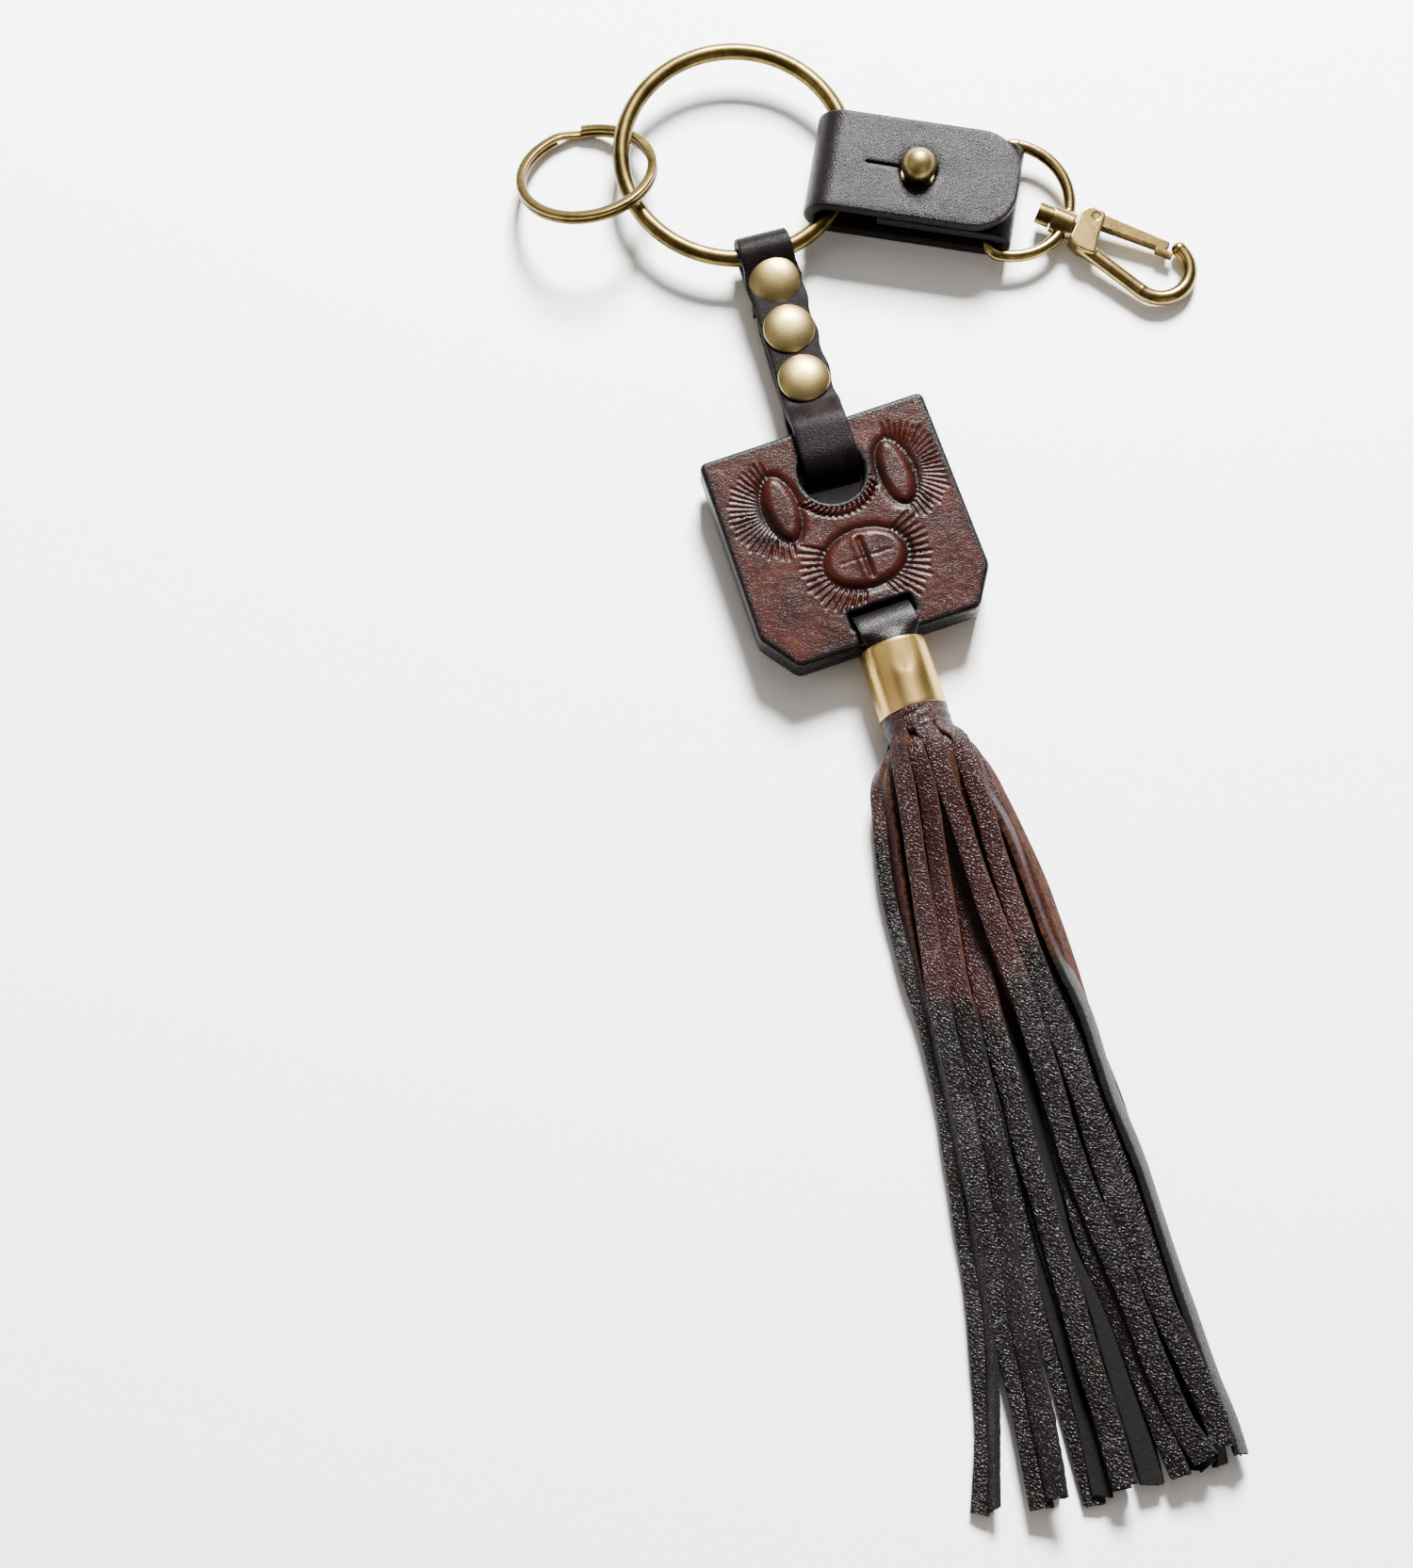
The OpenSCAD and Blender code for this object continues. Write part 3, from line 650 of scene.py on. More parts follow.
def m_satin():
    """brushed along the tube"""
    t = Tree("satin_brass")
    vec = t.attr("uvw", "Vector")
    n1 = t.noise(t.mapping(vec, (0.12, 7.0, 1)), 1.0, 4.0, 0.6)
    n2 = t.noise(t.mapping(vec, (0.1, 0.1, 1)), 1.0, 2.0, 0.5, 0.3)
    n3 = t.noise(vec, 5.0, 3.0, 0.6)
    col = t.mix(t.range(n2, 0.35, 0.7, 0.0, 1.0), (0.42, 0.27, 0.085), (0.54, 0.37, 0.13))
    col = t.mix(t.range(n3, 0.66, 0.82, 0.0, 0.25), col, (0.2, 0.12, 0.035))
    t.set(Base_Color=col, Metallic=1.0, Roughness=t.range(n1, 0.2, 0.8, 0.24, 0.33), Normal=t.bump(n1, 0.000005, 0.7))
    t.bsdf.inputs["Anisotropic"].default_value = 0.35
    return t.mat


def m_steel():
    t = Tree("spring_steel")
    n1 = t.noise(t.obj(), 900.0, 4.0, 0.6)
    t.set(Base_Color=t.mix(n1, (0.12, 0.12, 0.115), (0.22, 0.22, 0.21)), Metallic=1.0, Roughness=t.range(n1, 0.3, 0.7, 0.3, 0.45))
    return t.mat


def m_floor():
    t = Tree("pale_floor")
    n1 = t.noise(t.obj(), 3.0, 3.0, 0.5)
    t.set(Base_Color=t.mix(n1, (0.86, 0.862, 0.87), (0.885, 0.885, 0.89)), Roughness=t.range(n1, 0.3, 0.7, 0.5, 0.6), Normal=t.bump(t.noise(t.obj(), 900.0, 2.0, 0.5), 0.00001, 0.3))
    t.bsdf.inputs["Specular IOR Level"].default_value = 0.25
    return t.mat


BLACK = m_black_leather("black_leather", 0.12, (0.47, 0.24))
# painted shade: a copy of the black leather with less gloss, so that the hanger strap reads darker than the clip,
# standing in for how the light falls on it
BLACK_SHADED = m_black_leather("black_leather_shaded_copy", 0.035, (0.44, 0.34))
OMBRE = m_ombre()
TOOLED = m_tooled()
PAINT = m_edge_paint()
BACK = m_belt_back()
ANTIQUE = m_brass("antique_brass", (0.016, 0.0105, 0.003), (0.062, 0.042, 0.0105), (0.16, 0.115, 0.035), (0.38, 0.24), patina=0.75)
RIVET = m_brass("rivet_brass", (0.08, 0.056, 0.017), (0.19, 0.14, 0.052), (0.3, 0.235, 0.1), (0.44, 0.32), patina=0.45, scale=420.0)
LIGHT = m_brass("light_antique_brass", (0.03, 0.019, 0.005), (0.14, 0.092, 0.025), (0.34, 0.25, 0.095), (0.29, 0.16), patina=0.7)
SATIN = m_satin()
STEEL = m_steel()
FLOOR = m_floor()


def paint_node(node, mat):
    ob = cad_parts[node]
    if not ob.material_slots:
        ob.data.materials.append(mat)
    for s in ob.material_slots:
        s.material = mat


for n_ in ("large_ring", "split_ring", "stud_ball", "stud_screw", "swivel_post", "gate_pin"):
    paint_node(n_, ANTIQUE)
for n_ in ("swivel_eye", "hook_body", "gate"):
    paint_node(n_, LIGHT)
for n_ in ("rivet_caps", "rivet_posts"):
    paint_node(n_, RIVET)
paint_node("gate_spring", STEEL)
paint_node("ferrule", SATIN)


# ------------------------------------------------------------------ small tools for the pieces
def outward(V, faces):
    """the same shell, faces turned outward"""
    tri = np.array([(f[0], f[i], f[i + 1]) for f in faces for i in range(1, len(f) - 1)])
    a, b, c = V[tri[:, 0]], V[tri[:, 1]], V[tri[:, 2]]
    return [tuple(f)[::-1] for f in faces] if np.einsum("ij,ij->i", a, np.cross(b, c)).sum() < 0 else faces


class Shells:
    """several closed shells gathered into one mesh"""

    def __init__(self):
        self.V, self.F, self.A, self.n = [], [], {}, 0

    def add(self, V, faces, **attrs):
        faces = outward(V, faces)
        self.V.append(V)
        self.F += [tuple(i + self.n for i in f) for f in faces]
        for k, a in attrs.items():
            self.A.setdefault(k, []).append(np.asarray(a, float))
        self.n += len(V)

    def build(self, name, mats, sharp=40.0):
        return mesh_object(name, np.vstack(self.V), self.F, mats, {k: np.concatenate(a) for k, a in self.A.items()}, sharp=sharp)


def arc(cx, cy, r, a0, a1, n):
    a = np.radians(np.linspace(a0, a1, n))
    return np.stack([cx + r * np.cos(a), cy + r * np.sin(a)], 1)


def relax(p, k):
    """soften a polyline's corners, ends held"""
    q = p.copy()
    for _ in range(k):
        q[1:-1] = 0.25 * q[:-2] + 0.5 * q[1:-1] + 0.25 * q[2:]
    return q


def even(p, step):
    d = np.r_[0, np.cumsum(np.linalg.norm(np.diff(p, axis=0), axis=1))]
    n = max(2, int(round(d[-1] / step)))
    s = np.linspace(0, d[-1], n + 1)
    return np.stack([np.interp(s, d, p[:, k]) for k in range(p.shape[1])], 1), s


def slow(n, step, length, amp, seed):
    """slow wander along a path of n points"""
    r = np.random.default_rng(seed)
    k = max(4, int(n * step / length) + 3)
    c = r.normal(0, 1, k)
    return amp * np.interp(np.linspace(0, k - 1, n), np.arange(k), c) if n else np.zeros(0)


def finish_piece(ob, body, nodes):
    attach(ob, body)
    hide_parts(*nodes)


def soften(node, name, voxel, rounds, mat, body):
    """a cast-looking copy of a CAD solid: edges rounded as a tumbled casting's are"""
    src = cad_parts[node]
    dg = bpy.context.evaluated_depsgraph_get()
    me = bpy.data.meshes.new_from_object(src.evaluated_get(dg))
    ob = bpy.data.objects.new(name, me)
    scene.collection.objects.link(ob)
    r = ob.modifiers.new("remesh", "REMESH")
    r.mode, r.voxel_size, r.use_smooth_shade = "VOXEL", voxel / 1000, True
    sm = ob.modifiers.new("smooth", "SMOOTH")
    sm.factor, sm.iterations = 0.5, rounds
    dg = bpy.context.evaluated_depsgraph_get()
    new = bpy.data.meshes.new_from_object(ob.evaluated_get(dg))
    ob.modifiers.clear()
    ob.data = new
    new.materials.clear()
    new.materials.append(mat)
    new.polygons.foreach_set("use_smooth", np.ones(len(new.polygons), bool))
    new.polygons.foreach_set("material_index", np.zeros(len(new.polygons), np.int32))
    finish_piece(ob, body, [node])
    return ob


# ------------------------------------------------------------------ split ring
def make_split_ring():
    th = np.arange(0, 696.1, 3.0)
    lift = np.where(th < 336, -0.5, np.where(th > 360, 0.5, -0.5 + smooth01((th - 336) / 24)))
    a = np.radians(th + 90 - 348)
    c = np.stack([11.7 * np.cos(a), 11.7 * np.sin(a), lift], 1)
    A = np.stack([np.cos(a), np.sin(a), 0 * a], 1)
    global NREF
    NREF = np.tile([0.0, 0, 1], (len(c), 1))
    V, F, uvw, side = loft(c, A, 0.8, 0.97, 0.3, nt=2)
    t = math.radians(-24.5)
    R = np.array([[1, 0, 0], [0, math.cos(t), -math.sin(t)], [0, math.sin(t), math.cos(t)]])
    V = V @ R.T + np.array([-25.8, 5, 6.1])
    ob = mesh_object("split_ring_coil", V, outward(V, F), ANTIQUE, {"uvw": uvw}, sharp=35)
    finish_piece(ob, "split_ring", ["split_ring"])


# ------------------------------------------------------------------ hanger strap
def make_hanger():
    """one strap, round the ring, down both sides, through the plaque's hole"""
    top = arc(19.75, 0, 2.9, 292.5, 67.5, 40)      # (s, z) round the ring, back to front
    pts = [(30.35, -0.96), (27.5, -0.96), (25.0, -0.96)] + top.tolist()
    rise = [(48.7 + 6.0 * q, 0.96 + 3.12 * q * q * (3 - 2 * q)) for q in np.linspace(0, 1, 13)]
    pts += [(25.0, 0.96), (30.0, 0.96), (40.0, 0.96)] + rise
    pts += arc(59.9, 0, 4.1, 90, -90, 30).tolist()
    pts += [(a, -b) for a, b in rise[::-1]] + [(40.0, -0.96), (30.9, -0.96)]
    p, s = even(np.array(pts, float), 0.3)
    p = relax(p, 18)
    p, s = even(p, 0.33)
    n = len(p)
    c = np.stack([np.zeros(n), p[:, 0], p[:, 1]], 1)
    A = np.tile([1.0, 0, 0], (n, 1))
    g = tangents(c)
    global NREF
    # outer side: away from the doubled strap's middle
    NREF = np.cross(A, g)
    flip = 1 if NREF[np.argmin(np.abs(p[:, 0] - 40) + (p[:, 1] < 0) * 99), 2] > 0 else -1
    NREF = NREF * flip
    wav = slow(n, 0.33, 3.0, 0.1, 3)
    V, F, uvw, side = loft(c, A, 4.7 + wav, 1.8, 0.32, nt=8, jitter=0.02, seed=5)
    sx = V[:, 0]
    # front right edge is a little uneven, as cut by hand
    k = (sx > 4.2) & (V[:, 2] > -0.2)
    V[k, 0] += 0.22 * np.sin(V[k, 1] * 0.9) * smooth01((V[k, 1] - 24) / 4) * smooth01((52 - V[k, 1]) / 3)
    V = hanger(V[:, 0], V[:, 1], V[:, 2])
    # the hanger strap wears the painted-shade copy of the black leather
    ob = mesh_object("hanger_strap_leather", V, outward(V, F), BLACK_SHADED, {"uvw": uvw, "side": side}, sharp=50)
    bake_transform(ob)
    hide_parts("hanger_strap", "hanger_loop")


def make_rivets():
    sh = Shells()
    for i, (s0, tilt, sink) in enumerate(((25.9, (7.0, -3.0), 0.18), (35.4, (2.0, 2.0), 0.0), (45.0, (-1.5, 1.5), 0.0))):
        prof = []
        # dome, flattened at the crown, with a rolled rim
        for q in np.linspace(0, 1, 15):
            r = 4.32 * math.sin(q * math.pi / 2) ** 0.92 if q > 0 else 0.0
            prof.append((r, 1.86 + 0.42 + 1.28 * (max(0.0, 1 - (r / 4.45) ** 2.3)) ** 0.85))
        prof += [(4.42, 2.26), (4.5, 2.14), (4.5, 1.98), (4.42, 1.88), (4.0, 1.8)]
        up = np.array(prof)
        down = up[::-1] * [1, -1]
        full = np.vstack([up, [(1.6, 1.7), (1.6, -1.7)], down])
        V, F = lathe(full, 72)
        tx, ty = math.radians(tilt[0]), math.radians(tilt[1])
        Rx = np.array([[1, 0, 0], [0, math.cos(tx), -math.sin(tx)], [0, math.sin(tx), math.cos(tx)]])
        Ry = np.array([[math.cos(ty), 0, math.sin(ty)], [0, 1, 0], [-math.sin(ty), 0, math.cos(ty)]])
        front = V[:, 2] > 0
        W = V.copy()
        W[front] = (V[front] - [0, 0, 1.86]) @ (Ry @ Rx).T + [0, 0, 1.86 - sink]
        W = hanger(W[:, 0], s0 - W[:, 1], W[:, 2])
        sh.add(W, F)
    ob = sh.build("rivets_domed", RIVET, sharp=38)
    finish_piece(ob, "hanger", ["rivet_caps", "rivet_posts"])


# ------------------------------------------------------------------ tassel loop, tube
def make_tassel_loop():
    pts = [(7.2, 4.3), (5.0, 4.25), (2.6, 4.1), (1.0, 3.95)] + arc(0, 0, 3.85, 80, 280, 36).tolist() + [(1.0, -3.95), (2.6, -4.05), (5.0, -4.2), (7.2, -4.3)]
    p, s = even(np.array(pts, float), 0.25)
    p = relax(p, 8)
    p, s = even(p, 0.3)
    n = len(p)
    c = np.stack([np.zeros(n), p[:, 0], p[:, 1]], 1)
    A = np.tile([1.0, 0, 0], (n, 1))
    global NREF
    NREF = np.stack([np.zeros(n), np.minimum(p[:, 0], 0), p[:, 1]], 1)
    curl = smooth01((p[:, 0] - 0.2) / 2.6)
    hw = 5.1 - 0.95 * curl
    V, F, uvw, side = loft(c, A, hw, 1.2, 0.25, nt=10, crown=2.35 * curl, jitter=0.015, seed=8)
    k = smooth01((V[:, 1] + 1.0) / 3.0)[:, None]
    up_ = on_bar(V[:, 0], V[:, 1], V[:, 2])
    dn = tassel(V[:, 0], V[:, 1], V[:, 2] + Z_MID + 0.47 * smooth01(V[:, 1] / 3))
    V = up_ * (1 - k) + dn * k
    ob = mesh_object("tassel_loop_leather", V, outward(V, F), BLACK, {"uvw": uvw, "side": side}, sharp=50)
    finish_piece(ob, "tassel", ["tassel_loop"])


def make_tube():
    prof = [(5.47, 2.95), (5.53, 2.9), (5.76, 2.9), (5.84, 2.96), (5.86, 3.05)]
    prof += [(5.86, w) for w in np.linspace(3.6, 14.2, 9)]
    prof += [(5.86, 14.75), (5.84, 14.84), (5.76, 14.9), (5.53, 14.9), (5.47, 14.85)]
    prof = np.array(prof)
    V, F = lathe(np.vstack([prof, prof[:1]]), 96)
    n = len(V) - 96
    # join the last ring onto the first, so that the tube is closed
    F = [tuple(i if i < n else i - n for i in f) for f in F]
    V = V[:n]
    a = np.arctan2(V[:, 0], V[:, 1])
    rr = np.hypot(V[:, 0], V[:, 1])
    dent = 0.008 * np.sin(3 * a + 0.7) * np.sin(V[:, 2] * 0.4)
    V[:, 0] *= 1 + dent / rr
    V[:, 1] *= 1 + dent / rr
    uvw = np.stack([V[:, 2], np.arctan2(V[:, 0], V[:, 1]) * 5.85, 0 * a], 1)
    W = tassel(V[:, 0], V[:, 2], V[:, 1] + 5.87)
    ob = mesh_object("tassel_tube", W, outward(W, F), SATIN, {"uvw": uvw}, sharp=35)
    finish_piece(ob, "tassel", ["ferrule"])


# ------------------------------------------------------------------ collar and fringe
# name, angle round the neck, roll, width, suede side up, where it turns black,
# then (across, along, height) in the tassel's frame
STRIPS = [
    ("h1", -100, 8, 2.8, 0, 33, [(-9, 24.2, 4.8), (-10.9, 31.8, 4), (-12.6, 41, 2.8), (-13.1, 49, 2.2), (-13.5, 57.1, 2.2), (-13.4, 64.7, 2.1), (-13.9, 75, 2), (-15.4, 86.1, 1.9), (-17, 96.8, 1.7), (-18.5, 107.5, 1.6), (-20.8, 117.8, 1.4), (-23.4, 127.9, 1.3), (-27.9, 141.6, 1.3)]),
    ("h2", -78, 56, 2.9, 0, 61.1, [(-8, 25, 6.6), (-9.2, 32.8, 5.6), (-10.6, 41.8, 4.3), (-11.5, 51.1, 3.6), (-12.4, 60.6, 3.6), (-12.4, 65.3, 3.5), (-13, 75.5, 3.4), (-14.1, 86.6, 3.1), (-15.4, 97.4, 2.9), (-17, 108.1, 2.7), (-19.3, 118.3, 2.5), (-22, 128.3, 2.4), (-26.2, 141.5, 2.3)]),
    ("a", -45, 16, 3.7, 0, 62.1, [(-4.5, 20.2, 9.5), (-5.4, 26.5, 9.1), (-6.1, 32.1, 8.3), (-7.4, 41.1, 6.8), (-8.6, 50.1, 6), (-9.9, 59.4, 5.9), (-11, 67.6, 5.7), (-12.1, 80.8, 5.2), (-14.1, 97.4, 4.4), (-15.8, 113.8, 3.6), (-16.9, 128.7, 3.1), (-18.8, 143.6, 3)]),
    ("b", -24, 26, 3.7, 0, 63.1, [(-2.2, 22, 10.5), (-2.2, 28.6, 9.5), (-3.1, 35.4, 7.9), (-4, 42, 6.4), (-5.3, 50.9, 5.4), (-6.6, 60.2, 5.4), (-7, 67.2, 5.3), (-8.2, 77.3, 5.2), (-9.4, 88.3, 5.1), (-11.1, 99, 5), (-12.8, 109.6, 4.8), (-13.8, 120.2, 4.7), (-14.6, 130.7, 4.6), (-16, 142.7, 4.6)]),
    ("b2", -8, 18, 4, 0, 66.9, [(0.2, 23.6, 10.6), (0.2, 31.4, 8.8), (-0.5, 42.8, 5.5), (-1.3, 51.8, 4.4), (-2.3, 61.2, 4.4), (-2.8, 67.2, 4.4), (-3.2, 78.5, 4.4), (-4, 89.8, 4.3), (-4.1, 100.9, 4.3), (-4.3, 112, 4.2), (-4.9, 122.7, 4.2), (-4.8, 133.5, 4.2), (-5.4, 143.8, 4.2)]),
    ("sb", 8, -14, 3.6, 1, 66.6, [(2.6, 24.2, 10.5), (2.3, 34.3, 7.5), (2.3, 45.6, 4), (1.7, 56.9, 3.4), (1, 68.1, 3.3), (0.2, 79.3, 3.2), (-0.4, 90.6, 3.1), (-0.8, 101.6, 2.9), (-0.6, 112.9, 2.8), (-0.9, 123.7, 2.7), (-0.8, 134.5, 2.6), (-1.1, 144.8, 2.6)]),
    ("c", 2, 14, 3.9, 0, 62.3, [(1, 22.2, 11), (0.9, 27.9, 10.4), (1.3, 34.6, 9.4), (1.4, 41.6, 8.3), (1.6, 48.7, 7.6), (2, 56.1, 7.6), (2.5, 63.3, 7.5), (2.6, 69.9, 7.3), (2.6, 80.7, 6.9), (2.5, 92, 6.4), (3.2, 103.2, 5.8), (4.2, 114.6, 5.4), (4.8, 125.6, 5), (6.1, 136.7, 4.8), (8, 143.5, 4.8)]),
    ("s5", 18, 16, 3.3, 0, 64.2, [(3.9, 24.5, 10.3), (4.1, 34.9, 7.7), (4.5, 46.5, 4.9), (4.2, 57.9, 4.6), (3.5, 69.1, 4.5), (2.3, 80.1, 4.3), (1.4, 90, 4.1), (0.8, 102.2, 3.9), (1.3, 113.5, 3.7), (2.1, 124.6, 3.5), (2.7, 135.6, 3.4), (3.4, 144.8, 3.4)]),
    ("d", 40, 14, 3.8, 0, 57.6, [(5.3, 22.2, 9.8), (5.5, 28.8, 9.1), (5.8, 35.5, 8.2), (5.7, 42.5, 7.2), (5.8, 49.7, 6.6), (6, 57, 6.6), (6.3, 64.2, 6.5), (6.8, 70.9, 6.3), (7.1, 81.9, 6), (7, 93.2, 5.7), (7.3, 104.3, 5.3), (8.6, 115.8, 5), (9.8, 127, 4.7), (11.2, 138.1, 4.6), (11, 142.1, 4.6)]),
    ("e", 58, -20, 3.2, 0, 65.8, [(6.8, 23.9, 8.3), (8.1, 31.5, 7.1), (8.8, 41.2, 5.2), (9.1, 51.8, 4.2), (9.2, 60.9, 4.2), (9.4, 71.2, 4), (9.8, 82.2, 3.9), (10.1, 93.7, 3.6), (10.6, 105, 3.4), (11.4, 116.4, 3.2), (12.1, 127.5, 3.1), (12.8, 138.8, 3)]),
    ("f", 76, -52, 3.2, 0, 59.7, [(7.7, 24.6, 6.9), (7.8, 31.2, 6.4), (8.9, 36, 5.8), (9.6, 41, 5.3), (9.9, 46.9, 4.9), (10.2, 53.1, 4.8), (10.7, 60.5, 4.8), (11.6, 67.6, 4.7), (11.9, 71.8, 4.6), (11.9, 82.9, 4.4), (12.7, 94.6, 4.1), (12.9, 105.7, 3.9), (12.9, 116.9, 3.6), (13.2, 127.8, 3.5), (13.8, 138.8, 3.4), (13.7, 144.3, 3.4)]),
    ("g", 100, -50, 3.4, 1, 66.2, [(8.2, 24.1, 4.9), (9.8, 32, 4.4), (11, 39.8, 3.8), (11.8, 47.1, 3.5), (12, 54.4, 3.4), (12.1, 61.3, 3.3), (12, 68, 3.2), (12.1, 77.7, 3), (12.5, 87.4, 2.7), (12.2, 99.9, 2.3), (12.2, 112.4, 1.9), (12.2, 124.7, 1.6), (11.8, 135.3, 1.4), (10.4, 144.9, 1.4)]),
    ("m1", -60, 6, 3.8, 0, 62.8, [(-5.8, 22.8, 8.2), (-5.9, 36.9, 4.9), (-6.1, 51.1, 2.4), (-6.4, 62.5, 2.3), (-7, 77, 2.2), (-8.2, 92.4, 1.9), (-9.3, 107.7, 1.6), (-9.5, 121.1, 1.3), (-9.5, 131.9, 1.2), (-10.3, 145.3, 1.2)]),
    ("m2", -30, -10, 3.6, 0, 63.5, [(-3.1, 24.1, 9.9), (-3.3, 41.6, 4.2), (-4.1, 60.3, 2.6), (-4.3, 76.1, 2.5), (-4.9, 91.9, 2.4), (-5.2, 107.5, 2.3), (-5, 122.4, 2.2), (-5.1, 133.2, 2.2), (-5.9, 144.2, 2.2)]),
    ("m3", 180, 4, 3.8, 0, 64.2, [(0.1, 23.8, 0.7), (-0.5, 41.5, 0.9), (-1.4, 57.1, 1), (-1.5, 71.7, 1), (-1.5, 87.8, 1), (-1.1, 103.7, 0.9), (0, 118.1, 0.9), (0.4, 130.4, 0.9), (-0.6, 144.5, 0.9)]),
    ("m4", 150, -8, 3.6, 0, 63.6, [(2.2, 24.6, 1.4), (2.4, 42.5, 1.4), (2.3, 58.2, 1.4), (2.4, 72.9, 1.3), (2.8, 89.1, 1.2), (3.6, 105.1, 1.1), (4.8, 119.4, 1.1), (5.6, 132, 1), (5.9, 144.4, 1)]),
    ("m5", 128, 6, 3.6, 0, 64.4, [(3.9, 25.5, 2.6), (4.5, 43.3, 2.1), (4.7, 59.1, 2), (4.8, 73.8, 2), (5.3, 90, 2.1), (5.8, 105.9, 2.1), (6.7, 120.2, 2.2), (7.8, 132.7, 2.2), (8.5, 144.5, 2.2)]),
    ("m6", -128, -6, 3.4, 0, 61.8, [(-6.2, 22.6, 2.6), (-8.9, 39.3, 1.6), (-9.6, 54.7, 1.2), (-9.9, 67.7, 1.2), (-11.3, 83.4, 1.1), (-12.7, 98.8, 1), (-13.9, 114.1, 1), (-15.5, 128.9, 0.9), (-16.8, 142.1, 0.9)]),
    ("m7", -155, 10, 3.4, 0, 63, [(-3.8, 22.9, 1.2), (-5.1, 40.3, 1.5), (-5.6, 56, 1.6), (-5.7, 70.7, 1.6), (-6.3, 86.6, 1.7), (-6.6, 102.3, 1.7), (-6.9, 117.7, 1.8), (-7.4, 129.8, 1.8), (-8.7, 144.4, 1.8)]),
]

UNDER = ("b2", "sb", "s5", "e", "m1", "m2", "h2")
NECK = dict(h2=4.0, b=4.0, s5=4.0, e=4.0, b2=3.2, sb=2.6, m2=2.6, f=4.6, m1=3.6)


def make_fringe():
    sh = Shells()
    # the rolled leather's collar, wrinkled where it leaves the tube
    prof = [(0.0, 14.4), (5.3, 14.4), (5.55, 14.6)] + [(5.68, w) for w in np.linspace(15.0, 18.5, 15)] + [(5.5, 18.9), (5.0, 19.3), (4.4, 19.6), (0.0, 19.6)]
    V, F = lathe(prof, 120)
    a = np.arctan2(V[:, 0], V[:, 1])
    rr = np.hypot(V[:, 0], V[:, 1])
    w = V[:, 2]
    wr = 0.05 * np.sin(a * 5 + 1.3) + 0.07 * np.sin(w * 3.4 + 1.6 * np.sin(a * 2 + 0.5) + 0.6 * np.sin(a * 5)) + 0.04 * np.sin(w * 7.3 + 2 * np.sin(a * 3))
    k = np.where(rr > 0.1, wr * smooth01((rr - 4.4) / 1.0), 0)
    V[:, 0] *= 1 + k / np.maximum(rr, 1)
    V[:, 1] *= 1 + k / np.maximum(rr, 1)
    cu = np.stack([w, a * 5.6, 0 * a], 1)
    sh.add(V[:, [0, 2, 1]] + [0, 0, 5.87], F, uvw=cu, side=np.ones(len(V)), fade=w - 60, rnd=np.full(len(V), 0.3))
    global NREF
    for i, (name, phi, roll, wd, su, fw, pts) in enumerate(STRIPS):
        ph = math.radians(phi)
        r0 = NECK.get(name, 5.05)
        start = [(r0 * math.sin(ph), 16.5, 5.87 + r0 * math.cos(ph)), (r0 * math.sin(ph), 19.0, 5.87 + r0 * math.cos(ph))]
        c, s = spline(start + [tuple(p) for p in pts], 0.8)
        n = len(c)
        free = smooth01((c[:, 1] - 34) / 30)
        c[:, 2] += slow(n, 0.8, 9.0, 0.16, 100 + i) * free
        c[:, 0] += slow(n, 0.8, 14.0, 0.1, 200 + i) * free
        if name in UNDER:
            c[:, 2] -= 1.25 * smooth01((c[:, 1] - 20) / 10) * smooth01((85 - c[:, 1]) / 30)
        c[:, 2] = np.maximum(c[:, 2], 0.75)
        end = -roll if abs(phi) <= 100 else math.copysign(180, phi) - roll
        ang = phi + (end - phi) * smooth01((c[:, 1] - 18) / 12)
        ang = ang + slow(n, 0.8, 16.0, 4.0, 300 + i) * free
        an = np.radians(ang)
        A = np.stack([np.cos(an), 0 * an, -np.sin(an)], 1)
        NREF = np.stack([np.sin(an), 0 * an, np.cos(an)], 1)
        taper = 1 - 0.16 * smooth01((66 - c[:, 1]) / 30)
        hw = wd / 2 * taper + slow(n, 0.8, 7.0, 0.07, 400 + i) * free
        lr = np.random.default_rng(500 + i)
        cut = lr.normal(0, 0.5)
        rag = lr.normal(0, 0.16, 3)
        V, F, uvw, side = loft(c, A, hw, 1.2, 0.2, nt=6, crown=0.10, jitter=0.045, seed=600 + i,
                               end1=lambda v: cut * v / 2 + rag[0] * np.sin(v * 5) + rag[1] * np.sin(v * 9 + 1) - 0.1)
        f = (V[:, 1] - fw) / 1.0
        V[:, 2] = np.maximum(V[:, 2], 0.06)
        uv = uvw + [i * 37.0, i * 11.0, 0]
        sh.add(V, F, uvw=uv, side=-side if su else side, fade=f, rnd=np.full(len(V), lr.random()))
    sh.V = [tassel(v[:, 0], v[:, 1], v[:, 2]) for v in sh.V]
    sh.F = outward(np.vstack(sh.V), sh.F)
    ob = sh.build("tassel_fringe_leather", OMBRE, sharp=50)
    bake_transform(ob)
    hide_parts("tassel_head", "fringe_top", "fringe_middle", "fringe_bottom")


